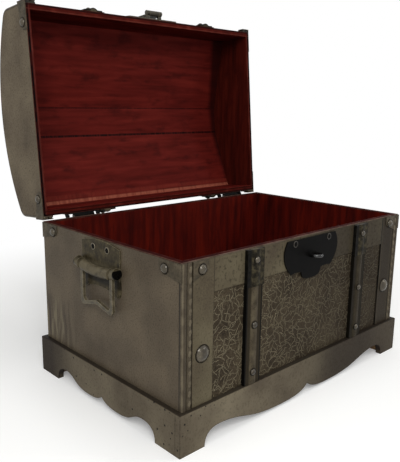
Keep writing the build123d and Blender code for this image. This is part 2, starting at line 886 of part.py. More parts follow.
plate_knuckles = [(-tongue_half, -tongue_knuckle - knuckle_gap), (tongue_knuckle + knuckle_gap, tongue_half)]
with BuildPart() as hasp_plate:
    foot = Plane(origin=(0, lid_front, lid_floor), x_dir=(-1, 0, 0), z_dir=(0, -1, 0))
    lobed_plate(opened(foot), hasp_plate_height / lock_drop, hasp_sheet)
    for start, end in plate_knuckles:
        with BuildSketch(hasp_section(start)):
            with Locations((0, -hasp_pin_rise)):
                Rectangle(hasp_pin_out + hasp_sheet, hasp_barrel_radius, align=Align.MIN)
        extrude(amount=end - start)
    hasp_rod(plate_knuckles, hasp_barrel_radius)
    hasp_rod(plate_knuckles, hasp_pin_radius + pin_clearance, Mode.SUBTRACT)
save(hasp_plate.part, "hasp_plate")

with BuildPart() as hasp_pin:
    hasp_rod([(-tongue_half, tongue_half)], hasp_pin_radius)
save(hasp_pin.part, "hasp_pin")

tongue_out = -hasp_y - hasp_barrel_radius + hasp_sheet
with BuildPart() as hasp:
    with BuildSketch(opened(end_face(-1, tongue_out, 0, hasp_z))):
        with Locations((0, (slot_far + hasp_tail + hasp_barrel_radius) / 2 + hasp_barrel_radius / 2)):
            tongue = Rectangle(hasp_width, slot_far + hasp_tail)
        fillet(tongue.vertices().group_by(Axis.Y)[-1], hasp_corner_radius)
        Rectangle(tongue_knuckle * 2, hasp_barrel_radius * 2 + hasp_sheet, align=(Align.CENTER, Align.MIN))
        with Locations((0, (slot_near + slot_far) / 2)):
            Rectangle(slot_half * 2, slot_far - slot_near, mode=Mode.SUBTRACT)
    extrude(amount=-hasp_sheet)
    hasp_rod([(-tongue_knuckle, tongue_knuckle)], hasp_barrel_radius)
    hasp_rod([(-tongue_knuckle, tongue_knuckle)], hasp_pin_radius + pin_clearance, Mode.SUBTRACT)
save(hasp.part, "hasp")


# Where the nails, studs and screws sit
patch_nail_in = patch_reach - patch_nail_margin


def patch_nails(side_out, side_depth, rim, drop, move):
    """One nail on the side leaf of each corner patch."""
    return [(nail_head, move(side_face(sx, side_out, sy * (side_depth[sy] - patch_nail_in), rim + drop)))
            for corner, sx, sy in corners]


chest_patch_out = {-1: front_out + patch_sheet, 1: half_depth + patch_sheet}
lid_patch_out = {-1: trim_rise + patch_sheet - lid_front, 1: trim_rise + patch_sheet + half_depth}
nails = patch_nails(half_width + patch_sheet, chest_patch_out, wall_top, -patch_nail_drop, stay)
for corner, sx, sy in corners:
    across = sx * (half_width + patch_sheet - patch_nail_in)
    nails.append((nail_head, end_face(sy, chest_patch_out[sy], across, wall_top - patch_nail_drop)))
stud_offset = bay_half_width + strip_width / 2
stud_height = plinth_height + wall_height * stud_share
cap_nail_height = wall_top - cap_nail_drop
low_nail_height = plinth_height + low_nail_rise
middle_nail_height = low_nail_height + (cap_nail_height - low_nail_height) * middle_nail_share
for side, sign in sides:
    nails.append((stud_head, end_face(-1, front_out, sign * stud_offset, stud_height)))
    nails.append((tack_head, end_face(-1, rib_out + cap_sheet, sign * batten_offset, cap_nail_height)))
    for height in (middle_nail_height, low_nail_height):
        nails.append((tack_head, end_face(-1, rib_out, sign * batten_offset, height)))
set_heads("chest_nails", nails)

lid_nails = patch_nails(lid_x + patch_sheet, lid_patch_out, lid_rim, patch_nail_drop, opened)
rib_top = strap_thickness + strap_rib_rise
for side, sign in sides:
    across = sign * batten_offset
    for face, out in ((-1, -lid_front), (1, half_depth)):
        cap_nail = end_face(face, out + rib_top + cap_sheet, across, lid_rim + strap_nail_rise)
        lid_nails.append((tack_head, opened(cap_nail)))
    for lean in (radians(-arch_nail_lean), 0, radians(arch_nail_lean)):
        outwards = (0, sin(lean), cos(lean))
        crest = (across, lid_middle + (lid_arch_radius + rib_top) * sin(lean),
                 arch_centre + (lid_arch_radius + rib_top) * cos(lean))
        lid_nails.append((tack_head, opened(Plane(origin=crest, x_dir=(1, 0, 0), z_dir=outwards))))
set_heads("lid_nails", lid_nails)

chest_screws = []
lid_screws = []
lock_screw_height = lock_top - lock_screw_drop
hinge_screw_half = hinge_half - hinge_screw_in
for side, sign in sides:
    chest_screws.append((screw_head, end_face(-1, lock_out, sign * lock_screw_half, lock_screw_height)))
    hasp_screw = end_face(-1, hasp_sheet - lid_front, sign * hasp_screw_half, lid_floor + hasp_screw_rise)
    lid_screws.append((screw_head, opened(hasp_screw)))
    for end in (-1, 1):
        across = handle_back_shift + end * handle_screw_half
        handle_screw = side_face(sign, plate_out, across, handle_pivot_height + handle_screw_rise)
        chest_screws.append((screw_head, handle_screw))
        across = sign * hinge_offset + end * hinge_screw_half
        chest_screws.append((screw_head, end_face(1, leaf_out, across, rim_height - hinge_screw_drop)))
        lid_screws.append((screw_head, opened(end_face(1, leaf_out, across, lid_rim + hinge_screw_drop))))
set_heads("chest_screws", chest_screws)
set_heads("lid_screws", lid_screws)

# Where the joints turn, for whoever sets the record
joint_places = (
    ("lid hinge", hinge_line),
    ("hasp pin at rest", open_turn * Location((0, hasp_y, hasp_z))),
    ("left bail", Location((-pivot_out, handle_back_shift, handle_pivot_height))),
    ("right bail", Location((pivot_out, handle_back_shift, handle_pivot_height))),
)
for name, place in joint_places:
    print(name, (to_origin * place).position)
print("hasp slot", slot_near, slot_far, slot_half)
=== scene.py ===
# %% [markdown]
# A domed treasure chest with its lid open. The boards are thin plywood covered outside with
# antiqued leathercloth and stained red inside, with iron fittings and a scalloped plinth.
# The CAD model already has the true shapes, so this lesson starts from it as a fixed frame.
# Every later step gives its pieces the finish of the real ones, and adds what CAD left out.

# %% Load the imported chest
import json
import math

import bmesh
import bpy
from mathutils import Matrix, Vector


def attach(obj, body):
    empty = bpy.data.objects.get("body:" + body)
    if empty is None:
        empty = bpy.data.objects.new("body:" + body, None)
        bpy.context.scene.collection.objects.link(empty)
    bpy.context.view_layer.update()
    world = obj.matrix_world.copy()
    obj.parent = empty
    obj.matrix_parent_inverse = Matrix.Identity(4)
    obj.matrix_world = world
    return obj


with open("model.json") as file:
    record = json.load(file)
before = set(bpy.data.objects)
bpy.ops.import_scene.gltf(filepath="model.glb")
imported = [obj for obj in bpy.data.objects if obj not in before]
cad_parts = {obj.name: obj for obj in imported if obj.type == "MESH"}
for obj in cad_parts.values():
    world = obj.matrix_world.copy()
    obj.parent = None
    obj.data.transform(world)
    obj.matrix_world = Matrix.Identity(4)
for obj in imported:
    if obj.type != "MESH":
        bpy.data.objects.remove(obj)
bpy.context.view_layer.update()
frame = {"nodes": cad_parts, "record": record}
nodes = frame["nodes"]

# %% [markdown]
# Colours are written the way a paint chart or a photo editor gives them, as sRGB hex values.
# Blender's shaders want linear light, so one function does the change for all of them.
# Pattern sizes are written in millimetres. A texture's scale counts repeats per unit, and
# the units of these patterns are millimetres too, so a feature of 3 mm has a scale of 1 / 3.
# The places on the chest that the patterns keep to are named here, also in millimetres.

# %% Colours and sizes
MM = 0.001
X, Y, Z = range(3)
HALF_WIDTH, LID_HALF_WIDTH = 230.0, 226.0
FRONT, BACK = -205.0, 95.0
TRIM_EDGE, STRIP_EDGE = 215.0, 182.0
BATTEN_MIDDLE = 116.0
HANDLE_MIDDLE, HANDLE_PIVOT = -52.0, 190.0
PLINTH_TOP = 53.0


def colour(hex_value):
    """An sRGB hex colour as linear RGBA."""
    channels = [int(hex_value[i:i + 2], 16) / 255 for i in (0, 2, 4)]
    linear = [c / 12.92 if c <= 0.04045 else ((c + 0.055) / 1.055) ** 2.4 for c in channels]
    return (*linear, 1.0)


print("taupe leather in linear light:", [round(c, 3) for c in colour("5F5748")])

# %% [markdown]
# Both a material and a Geometry Nodes tree are graphs. One function adds a node to either: its
# keywords are the node's own properties, its dictionary fills the sockets. A value is set, a
# node or a socket is linked, and a colour ramp gets its stops. Each finish then reads as a
# recipe from top to bottom.

# %% Add a node
def fill(tree, node, sockets):
    """Fill a node's sockets, by name or number, with values, hex colours, nodes or sockets."""
    for name, value in sockets.items():
        usable = [socket for socket in node.inputs if socket.enabled]
        named = (socket for socket in usable if socket.name == name)
        socket = usable[name] if isinstance(name, int) else next(named)
        if isinstance(value, bpy.types.Node):
            value = next(output for output in value.outputs if output.enabled)
        if isinstance(value, bpy.types.NodeSocket):
            tree.links.new(value, socket)
        elif isinstance(value, str) and socket.type == "RGBA":
            socket.default_value = colour(value)
        else:
            socket.default_value = value


def add(tree, kind, sockets=None, stops=(), **properties):
    """Add a node with its settings, its links and a colour ramp's stops."""
    node = tree.nodes.new(kind)
    for name, value in properties.items():
        setattr(node, name, value)
    fill(tree, node, sockets or {})
    for index, (position, hex_value) in enumerate(stops):
        elements = node.color_ramp.elements
        element = elements[index] if index < len(elements) else elements.new(position)
        element.position = position
        element.color = colour(hex_value)
    return node


print("one function adds every node")

# %% [markdown]
# An antiqued finish is built up like the real one: a coat whose tone drifts in soft clouds,
# then washes of glaze, each thick where something says so, such as a pit or a height. The same
# washes also paint shade, such as the darker right end of the front. Then come edges, where
# glaze stays or a coat is rubbed through, then dark or pale lines, broken as a brush leaves
# them, and last an uneven sheen and a fine relief. These steps return in every finish, so each
# is one short recipe here.

# %% Steps of an antiqued finish
# Painted shade: a dark tint that darkens surfaces toward the right, across this run of X in mm.
RIGHT_SHADE_TINT = "1A130C"
RIGHT_SHADE_RUN = (-120.0, 160.0)


def new_finish(name):
    """An empty material: its tree, its shader, the place in millimetres and that place's axes."""
    finish = bpy.data.materials.new(name)
    finish.use_nodes = True
    tree = finish.node_tree
    tree.nodes.clear()
    shader = add(tree, "ShaderNodeBsdfPrincipled")
    add(tree, "ShaderNodeOutputMaterial", {"Surface": shader})
    object_place = add(tree, "ShaderNodeTexCoord").outputs["Object"]
    place = add(tree, "ShaderNodeMapping", {"Vector": object_place, "Scale": [1 / MM] * 3})
    axes = add(tree, "ShaderNodeSeparateXYZ", {"Vector": place}).outputs
    return finish, tree, shader, place, axes


def clouded(tree, place, size, tones, spread=0.18, middle=0.5, **settings):
    """Clouds of a size, and a coat that follows them from its dark tone to its light one."""
    clouds = add(tree, "ShaderNodeTexNoise", {"Vector": place, "Scale": 1 / size, **settings})
    tone = add(tree, "ShaderNodeMapRange",
               {"Value": clouds, "From Min": 0.5 - spread, "From Max": 0.5 + spread})
    positions = (0.0, middle, 1.0) if len(tones) == 3 else (0.0, 1.0)
    return clouds, add(tree, "ShaderNodeValToRGB", {"Fac": tone}, zip(positions, tones))


def washed(tree, base, washes, where=None):
    """Washes over a colour; each has a field, where that starts and is full, a most and a tint."""
    for field, start, full, most, tint in washes:
        thick = add(tree, "ShaderNodeMapRange",
                    {"Value": field, "From Min": start, "From Max": full, "To Max": most})
        if where:
            thick = add(tree, "ShaderNodeMath", {0: thick, 1: where}, operation="MULTIPLY")
        base = add(tree, "ShaderNodeMix", {"Factor": thick, "A": base, "B": tint}, data_type="RGBA")
    return base


def edged(tree, base, radius, tint, broken=1.0):
    """A tint on the edges: where the face's direction is far from that of one rounded by radius."""
    rounded = add(tree, "ShaderNodeBevel", {"Radius": radius * MM}, samples=6)
    flat = add(tree, "ShaderNodeNewGeometry").outputs["True Normal"]
    straight = add(tree, "ShaderNodeVectorMath", {0: rounded, 1: flat}, operation="DOT_PRODUCT")
    edges = add(tree, "ShaderNodeMapRange",
                {"Value": straight.outputs["Value"], "From Min": 0.98, "From Max": 0.80})
    edges = add(tree, "ShaderNodeMath", {0: edges, 1: broken}, operation="MULTIPLY")
    return add(tree, "ShaderNodeMix", {"Factor": edges, "A": base, "B": tint}, data_type="RGBA")


def apart(tree, value, middle=0.0):
    """How far a value is from a middle."""
    away = add(tree, "ShaderNodeMath", {0: value, 1: middle}, operation="SUBTRACT")
    return add(tree, "ShaderNodeMath", {0: away}, operation="ABSOLUTE")


def with_lines(tree, axes, base, broken, lines):
    """Lines over a colour; each is an axis, a middle, half a width, a tint and a strength."""
    for axis, middle, half, tint, most in lines:
        line = add(tree, "ShaderNodeMapRange", {
            "Value": apart(tree, axes[axis], middle),
            "From Min": half * 1.2, "From Max": half * 0.6})
        left = add(tree, "ShaderNodeMapRange", {
            "Value": broken, "From Min": 0.35, "From Max": 0.55,
            "To Min": most * 0.5, "To Max": most})
        line = add(tree, "ShaderNodeMath", {0: line, 1: left}, operation="MULTIPLY")
        base = add(tree, "ShaderNodeMix", {"Factor": line, "A": base, "B": tint}, data_type="RGBA")
    return base


def surfaced(tree, shader, base, roughness, relief, specular, metallic=0.0):
    """Close a finish: a field with two roughnesses, and a height with a strength and a depth."""
    field, low, high = roughness
    rough = add(tree, "ShaderNodeMapRange", {
        "Value": field, "From Min": 0.3, "From Max": 0.7, "To Min": low, "To Max": high})
    height, strength, depth = relief
    bump = add(tree, "ShaderNodeBump", {
        "Height": height, "Strength": strength, "Distance": depth * MM})
    fill(tree, shader, {"Base Color": base, "Roughness": rough, "Normal": bump,
                        "Specular IOR Level": specular, "Metallic": metallic})


print("seven steps: start, clouds, washes, edges, distance, lines and surface")

# %% [markdown]
# The outside is leathercloth: cotton coated with vinyl, embossed with a fine grain, and then
# rubbed with a dark antiquing glaze. The eye sees a greenish taupe with soft cloudy patches, a
# fine pebble grain with dark pits, and a dull sheen that breaks up over the grain. The grain
# is really about 1 mm, which is one pixel here, so it is drawn at 1.6 mm to show. The glaze
# also stays along every edge, and pools beside the ribs of battens and straps, and the
# battens' side faces are painted near black as their shade. On the left side the cloth was
# glued in folds, low down near the back, and the folds' highlights and shade are painted on as
# pale and dark streaks. Vinyl is matt here, so its specular level is below the usual.

# %% Antiqued leathercloth
PEBBLE = 1.6
FOLDED = ((Y, 10.0, 62.0), (Z, 132.0, 96.0))
BESIDE_RIB, SHADED_BATTEN_SIDE = (5.2, 7.2), (11.3, 12.6)


def creased(tree, place, axes, base):
    """Painted highlight and shade of glued folds that run up a side near its back edge."""
    stretched = add(tree, "ShaderNodeMapping", {"Vector": place, "Scale": (1.0, 1.0, 0.12)})
    folds = add(tree, "ShaderNodeTexNoise",
                {"Vector": stretched, "Scale": 1 / 8, "Detail": 2.0, "Distortion": 0.5})
    back, low = (
        add(tree, "ShaderNodeMapRange", {"Value": axes[axis], "From Min": start, "From Max": full})
        for axis, start, full in FOLDED)
    where = add(tree, "ShaderNodeMath", {0: back, 1: low}, operation="MULTIPLY")
    fold_highlight_and_shade = [(folds, 0.54, 0.62, 0.85, "6C634F"), (folds, 0.47, 0.38, 0.9, "342B22")]
    return washed(tree, base, fold_highlight_and_shade, where)


def embossed_leathercloth(
        name, light, mid, dark, pits="28231A", cloud=55, specular=0.15, ribbed=False,
        creases=False, lines=(), shade_to_right=0.0, grain=2.4, pitted=0.5):
    """Leathercloth in three tones, with glaze in the pits of its grain and along its edges."""
    finish, tree, shader, place, axes = new_finish(name)
    clouds, base = clouded(tree, place, cloud, (dark, mid, light), Detail=5.0)
    pebble = add(tree, "ShaderNodeTexVoronoi", {"Vector": place, "Scale": 1 / PEBBLE})
    fleck = add(tree, "ShaderNodeTexNoise", {"Vector": place, "Scale": 1 / grain, "Detail": 3.0})
    base = washed(tree, base, [(fleck, 0.53, 0.72, pitted, pits), (pebble, 0.5, 0.9, 0.25, light)])
    if creases:
        base = creased(tree, place, axes, base)
    # Glaze beside the rib, and painted shade, near black, on the batten's side faces.
    if ribbed:
        away = apart(tree, apart(tree, axes[X]), BATTEN_MIDDLE)
        base = washed(tree, base, [
            (away, *BESIDE_RIB, 1.0, "292319"), (away, *SHADED_BATTEN_SIDE, 1.0, "080706")])
    patchy = add(tree, "ShaderNodeMapRange",
                 {"Value": clouds, "From Min": 0.3, "From Max": 0.6, "To Min": 0.3})
    base = edged(tree, base, 1.1, pits, patchy)
    # Painted shade, darker toward the right.
    if shade_to_right:
        base = washed(tree, base, [(axes[X], *RIGHT_SHADE_RUN, shade_to_right, RIGHT_SHADE_TINT)])
    base = with_lines(tree, axes, base, clouds, lines)
    surfaced(tree, shader, base, (fleck, 0.45, 0.65), (pebble, 0.4, 0.25), specular)
    return finish


print("leathercloth can be clouded, pitted, creased or ribbed")

# %% [markdown]
# The chest is covered with many cuts of it, and each has its own three tones, light to dark,
# as cuts from different rolls have; the lid's end covers are made lighter than the rest, which
# is painted light from above. On the front, and on the right batten and strap, painted shade
# darkens the cloth toward the right. Where two cuts meet each other or a trim there is a dark
# line, a dark joint, and the black ones on the right are also painted shadow of the step. The
# trims are embossed with ridges and grooves, and the battens and straps are wrapped over a rib.
# Their caps are nearly black with old polish, and down their left part they are painted blacker
# still as shade; the upper ends of the trims on the open lid are painted near black as shade.

# %% Cuts of leathercloth
# Painted shade over the right corner strip and between the lock plate and the right batten. The
# seams are dark joints, and the black ones on the right are also painted shadow of the step.
painted_right_shade = [(X, 198.0, 15.5, "1F1812", 0.75), (X, 68.0, 34.0, "1F1812", 0.6)]
front_seams = [(X, 0.5 - STRIP_EDGE, 0.6, "241E15", 0.9), (X, STRIP_EDGE - 0.2, 1.2, "0A0806", 1.0),
               (X, 0.5 - TRIM_EDGE, 0.8, "2A241A", 0.9), (X, TRIM_EDGE - 0.5, 1.2, "0A0806", 1.0)]
front_shade_and_seams = {"lines": painted_right_shade + front_seams, "shade_to_right": 0.6, "specular": 0.08}
# Painted shade down the left part of each batten cap.
shaded_cap_sides = [(X, side * BATTEN_MIDDLE - 12.5, 4.5, "080706", 1.0) for side in (-1, 1)]


def trim_lines(half_width):
    """A trim's pale ridge at the corner, dark groove, seam, bead and dark inner edge."""
    return [(X, side * (half_width - inwards), half, tint, most)
            for side in (-1, 1)
            for inwards, half, tint, most in (
                (0.9, 0.7, "665D4C", 0.9), (4.2, 2.2, "3A3226", 0.7), (7.4, 0.8, "2A241A", 0.8),
                (11.0, 3.2, "443C2F", 0.7), (14.3, 0.8, "241E16", 0.8))]


taupe_leathercloth = embossed_leathercloth("taupe_leathercloth", "5E5644", "534B3B", "473F32")
front_tones = ("625A47", "574F3E", "483F32")
front_leathercloth = embossed_leathercloth("front_leathercloth", *front_tones, **front_shade_and_seams)
band_leathercloth = embossed_leathercloth(
    "band_leathercloth", *front_tones, grain=4.5, pitted=0.8, **front_shade_and_seams)
# The left side's folds are painted on as pale highlight and dark shade.
creased_leathercloth = embossed_leathercloth(
    "creased_leathercloth", "5D5242", "52483A", "483E31", creases=True, grain=2.0, pitted=0.62,
    lines=[(Y, FRONT + 3.0, 1.2, "1E1912", 0.9)])
# The lid's end covers are made lighter than the other cuts, as painted light from above.
lit_end_leathercloth = embossed_leathercloth(
    "lit_lid_end_leathercloth", "6C614F", "5F5444", "4E4437", specular=0.09)
patch_leathercloth = embossed_leathercloth(
    "patch_leathercloth", "574E3E", "484032", "363025", pits="15120D", cloud=12)
cap_leathercloth = embossed_leathercloth(
    "cap_leathercloth", "433D2D", "231F17", "12100B", pits="0A0907", cloud=5, specular=0.06,
    lines=shaded_cap_sides)
strap_end_leathercloth = embossed_leathercloth(
    "strap_end_leathercloth", "1E1B14", "13110C", "0A0907", pits="060504", cloud=5, specular=0.03)
# Painted shade darkens the right batten and the right strap, toward the right and in a band at X =
# 116 mm.
batten_leathercloth = embossed_leathercloth(
    "batten_leathercloth", "574F3F", "484033", "352F24", pits="17150F", cloud=14, specular=0.05,
    ribbed=True, shade_to_right=0.35, lines=[(X, BATTEN_MIDDLE, 26.0, "12110B", 0.42)])
trim_tones = ("584F40", "4B4336", "3A3228")
trim_leathercloth = embossed_leathercloth(
    "trim_leathercloth", *trim_tones, pits="1C1812", cloud=12, lines=trim_lines(HALF_WIDTH))
# Painted shade: the upper ends of the open lid's trims are near black.
shaded_trim_end = (Z, 532.0, 5.0, "0C0A08", 1.0)
lid_trim_leathercloth = embossed_leathercloth(
    "lid_trim_leathercloth", *trim_tones, pits="1C1812", cloud=12,
    lines=[*trim_lines(LID_HALF_WIDTH), shaded_trim_end])
print("eleven cuts of leathercloth")

# %% [markdown]
# The front's bays hold a heavier leathercloth, pressed while soft with a crackled pattern. This
# is its low ground: the brown glaze stays there, in clouds, with fine wrinkles about 3 mm
# apart. The raised threads that cross it are modelled further down, because real relief
# catches the light from every side, and a pattern of cells would look like gravel.

# %% Ground of the crackled leathercloth
def crackled_ground(name):
    """Dark glazed low ground with fine wrinkles."""
    finish, tree, shader, place, axes = new_finish(name)
    clouds, base = clouded(tree, place, 38, ("31291F", "3E3529", "4B4233"), Detail=4.0)
    wrinkles = add(tree, "ShaderNodeTexNoise",
                   {"Vector": place, "Scale": 1 / 3.2, "Detail": 3.0, "Distortion": 1.2})
    # The last of these washes is painted shade toward the right; the black line at the strip's edge
    # is painted shadow of its step.
    base = washed(tree, base, [
        (wrinkles, 0.52, 0.68, 0.5, "554D3C"), (wrinkles, 0.46, 0.34, 0.6, "1A1711"),
        (axes[X], *RIGHT_SHADE_RUN, 0.55, RIGHT_SHADE_TINT)])
    base = with_lines(tree, axes, base, clouds, [(X, STRIP_EDGE - 1.0, 1.0, "0A0806", 1.0)])
    bump = add(tree, "ShaderNodeBump", {"Height": wrinkles, "Strength": 0.5, "Distance": 0.4 * MM})
    fill(tree, shader, {
        "Base Color": base, "Roughness": 0.6, "Normal": bump, "Specular IOR Level": 0.06})
    return finish


crackle_ground = crackled_ground("crackled_leathercloth")
print(crackle_ground.name)

# %% [markdown]
# Inside, the boards are bare wood wiped with a red mahogany stain, which dries matt. The stain
# sinks deeper into the soft bands of the grain, so the eye sees long dark streaks that run
# with the board, a few darker blots, and pores. Where two planks of the lid meet, a black line
# of old stain fills the joint. Beside the end boards the planks are painted darker, as their
# shade, in a band that widens toward the lid's front. Along the lowest plank's edge, which was
# planed after staining, pale wood comes through with the saw's ticks. The lid's end boards take
# a darker copy of the stain, partly a darker stain and partly painted shade on their inner faces.

# %% Red stained wood
SHADE_LEAN, END_SHADE = 0.1, (238.0, 249.0)


def lid_shade_and_stains(tree, place, axes, base, lines):
    """Painted shade at the planks' ends, wider toward the lid's front, and lines along them."""
    across = apart(tree, axes[X])
    lean = add(tree, "ShaderNodeMath", {0: axes[Z], 1: SHADE_LEAN, 2: across},
               operation="MULTIPLY_ADD")
    # Painted shade beside the end boards.
    base = washed(tree, base, [(lean, *END_SHADE, 0.85, "1C0504")])
    ticks = add(tree, "ShaderNodeMapping", {"Vector": place, "Scale": (0.3, 0.02, 0.02)})
    ticks = add(tree, "ShaderNodeTexNoise", {"Vector": ticks, "Scale": 1.0, "Detail": 3.0})
    return with_lines(tree, axes, base, ticks, lines)


def stained_wood(name, along, light, mid, dark, lines=()):
    """Stained wood; along is the axis that its grain follows."""
    finish, tree, shader, place, axes = new_finish(name)
    stretch = [0.1 if axis == along else 1.0 for axis in range(3)]
    grain = add(tree, "ShaderNodeMapping", {"Vector": place, "Scale": stretch})
    streaks, base = clouded(
        tree, grain, 9, (dark, mid, light), spread=0.22, Detail=4.0, Distortion=0.3)
    fibres = add(tree, "ShaderNodeTexNoise", {"Vector": grain, "Scale": 1 / 1.3, "Detail": 2.0})
    less = [0.4 + 0.6 * scale for scale in stretch]
    smear = add(tree, "ShaderNodeMapping", {"Vector": place, "Scale": less})
    blots = add(tree, "ShaderNodeTexNoise", {"Vector": smear, "Scale": 1 / 17, "Detail": 5.0})
    base = washed(tree, base, [(fibres, 0.56, 0.7, 0.25, dark), (blots, 0.54, 0.74, 0.7, "2A0706")])
    if lines:
        base = lid_shade_and_stains(tree, place, axes, base, lines)
    surfaced(tree, shader, base, (streaks, 0.68, 0.55), (streaks, 0.3, 0.4), 0.05)
    return finish


plank_joints = [(Z, 386.0, 1.1, "260706", 0.9), (Z, 340.2, 2.0, "120303", 1.0)]
planed_edge = [(Z, 238.4, 3.0, "8A4C3B", 0.95), (Z, 246.0, 3.5, "6E281E", 0.5)]
wood_planks = stained_wood("red_stained_planks", X, "661D16", "571611", "45100C",
                           plank_joints + planed_edge)
wood_along_width = stained_wood("red_stained_wood", X, "5B150E", "490E09", "310705")
wood_upright = stained_wood("red_stained_box_boards", Z, "571309", "450D07", "2E0604")
# The lid's end boards are darker, partly a darker stain and partly painted shade on their inner
# faces.
wood_ends = stained_wood("red_stained_lid_ends", Z, "4C160E", "3C0E08", "2A0804")
print("red wood: planks, lid walls, box boards and lid ends")

# %% [markdown]
# The leathercloth that is turned over the rims is thin there, and hands have rubbed it: the
# stain of the boards has soaked through on top, and the outer edge is worn to a pale line. On
# the lid a black line is painted between the wood and the cloth, as the shadow in the gap
# there.

# %% Rim binding
def rubbed_binding(name, dark, mid, light, worn_to, lines):
    """Dark red-brown cloth, worn pale in broken lengths along its edges."""
    finish, tree, shader, place, axes = new_finish(name)
    clouds, base = clouded(tree, place, 16, (dark, mid, light), spread=0.2, middle=0.6, Detail=4.0)
    breaks = add(tree, "ShaderNodeMapRange", {
        "Value": clouds, "From Min": 0.38, "From Max": 0.58, "To Min": 0.25, "To Max": 0.95})
    base = edged(tree, base, 0.8, worn_to, breaks)
    base = with_lines(tree, axes, base, clouds, lines)
    bump = add(tree, "ShaderNodeBump", {"Height": clouds, "Strength": 0.3, "Distance": 0.3 * MM})
    fill(tree, shader, {
        "Base Color": base, "Roughness": 0.75, "Normal": bump, "Specular IOR Level": 0.03})
    return finish


worn_rims = [(X, 0.7 - HALF_WIDTH, 0.8, "5E4E42", 0.6), (X, HALF_WIDTH - 0.7, 0.8, "7C6D5E", 1.0),
             (Y, FRONT + 0.7, 1.1, "685A4F", 0.9), (Y, BACK - 0.6, 0.7, "77695A", 1.0)]
# Painted shadow: black lines in the gap between the lid's wood and its cloth, beside a brownish
# cloth edge.
cloth_edge_and_gap_shadow = ((4.4, 0.5, "4A2A26", 0.8), (1.7, 1.8, "060404", 1.0))
gap_shadow_at_ends = [(X, side * (LID_HALF_WIDTH - inwards), half, tint, most)
                for inwards, half, tint, most in cloth_edge_and_gap_shadow for side in (-1, 1)]
gap_shadow_and_edge_above = [(Z, 526.5, 1.4, "0C0706", 0.9), (Z, 521.0, 0.6, "5C2E25", 0.8)]
gap_shadow_below = [(Z, 234.6, 1.2, "0A0504", 0.95), (Z, 239.6, 0.8, "1A0605", 0.9)]
binding = rubbed_binding("rubbed_rim_binding", "220706", "2F0C0A", "43211B", "5E463A", worn_rims)
lid_binding = rubbed_binding("rubbed_lid_binding", "330D09", "47130D", "582019", "68332A",
                             gap_shadow_at_ends + gap_shadow_and_edge_above + gap_shadow_below)
print(binding.name, lid_binding.name)

# %% [markdown]
# The plinth is painted board, in the colour of the leathercloth, then distressed: a dark glaze
# was wiped on, which stays in small dents and along the edges. A dark line under the
# leathercloth is painted shadow, and so is the darkening of the faces that look down. The
# paint is also darker toward the back, and toward the right as painted shade where the light
# falls off. Dark specks of 1 to 3 mm are scattered thinly, so only some of the cells of a
# coarse pattern get one, and more lie near the corners, where a chest gets knocked.

# %% Distressed paint
# Painted shade that darkens the plinth toward the right.
plinth_right_shade = [(X, 96.0, 92.0, "1A120C", 0.42), (X, 96.0, 56.0, "1A120C", 0.45)]


def distressed_paint(name):
    """Taupe paint with a glaze left in dents and edges."""
    finish, tree, shader, place, axes = new_finish(name)
    clouds, base = clouded(tree, place, 70, ("50473A", "645B4B", "716856"), Detail=5.0)
    fleck = add(tree, "ShaderNodeTexNoise", {"Vector": place, "Scale": 1 / 2.6, "Detail": 4.0})
    dents = add(tree, "ShaderNodeTexVoronoi", {"Vector": place, "Scale": 1 / 11})
    size = add(tree, "ShaderNodeMapRange", {"Value": apart(tree, axes[X]), "From Min": 150.0,
                                            "From Max": 235.0, "To Min": 0.03, "To Max": 0.13})
    dent = add(tree, "ShaderNodeMath", {0: dents, 1: size}, operation="LESS_THAN")
    base = washed(tree, base, [
        (fleck, 0.54, 0.75, 0.45, "2C261D"), (dent, 0.0, 1.0, 1.0, "1B1712")])
    broken = add(tree, "ShaderNodeMapRange",
                 {"Value": fleck, "From Min": 0.35, "From Max": 0.6, "To Min": 0.35})
    base = edged(tree, base, 2.0, "1C1711", broken)
    # Painted shade on faces that look down; then darker toward the back, and painted shade toward
    # the right.
    facing = add(tree, "ShaderNodeNewGeometry").outputs["True Normal"]
    down = add(tree, "ShaderNodeSeparateXYZ", {"Vector": facing}).outputs[Z]
    base = washed(tree, base, [
        (down, -0.1, -0.3, 0.85, "14110D"), (axes[Y], 0.0, 74.0, 0.9, "1F1712"),
        (axes[X], *RIGHT_SHADE_RUN, 0.68, "1C120B")])
    base = with_lines(tree, axes, base, clouds, plinth_right_shade)
    # Painted shadow: a dark line along the plinth's top, under the leathercloth.
    base = washed(tree, base, [(axes[Z], PLINTH_TOP - 0.8, PLINTH_TOP - 0.1, 0.85, "1A140F")])
    surfaced(tree, shader, base, (fleck, 0.5, 0.68), (fleck, 0.25, 0.25), 0.1)
    return finish


plinth_paint = distressed_paint("distressed_plinth_paint")
print(plinth_paint.name)

# %% [markdown]
# The glue blocks under the corners are sawn pine, left bare, since nobody sees them.

# %% Sawn pine
def sawn_pine(name):
    """Pale wood with upright grain and rough saw marks."""
    finish, tree, shader, place, _ = new_finish(name)
    grain = add(tree, "ShaderNodeMapping", {"Vector": place, "Scale": (1.0, 1.0, 0.1)})
    streaks, base = clouded(tree, grain, 3, ("8E6B47", "B8956A"), spread=0.2, Detail=4.0)
    bump = add(tree, "ShaderNodeBump", {"Height": streaks, "Strength": 0.3, "Distance": 0.3 * MM})
    fill(tree, shader, {"Base Color": base, "Roughness": 0.8, "Normal": bump})
    return finish


pine = sawn_pine("sawn_pine")
print(pine.name)

# %% [markdown]
# Two metal finishes. The lock plate and hinges are sheet steel dipped in black lacquer, almost
# even, with a soft uneven gloss. The nails, handles and hasp are stamped steel plated in brass
# and then blackened, with the high spots buffed back: a grey-green metal with pale crowns. The
# blackening makes it dull, so it is hardly metallic to the eye. On the handles and bails the
# pale edges are partly that buffing and partly painted highlight. On the handle plates a pale
# band along the roll is painted highlight and a dark band under it painted shadow, and the
# ends of the solid rolls are painted black, as the shade inside a hollow roll.

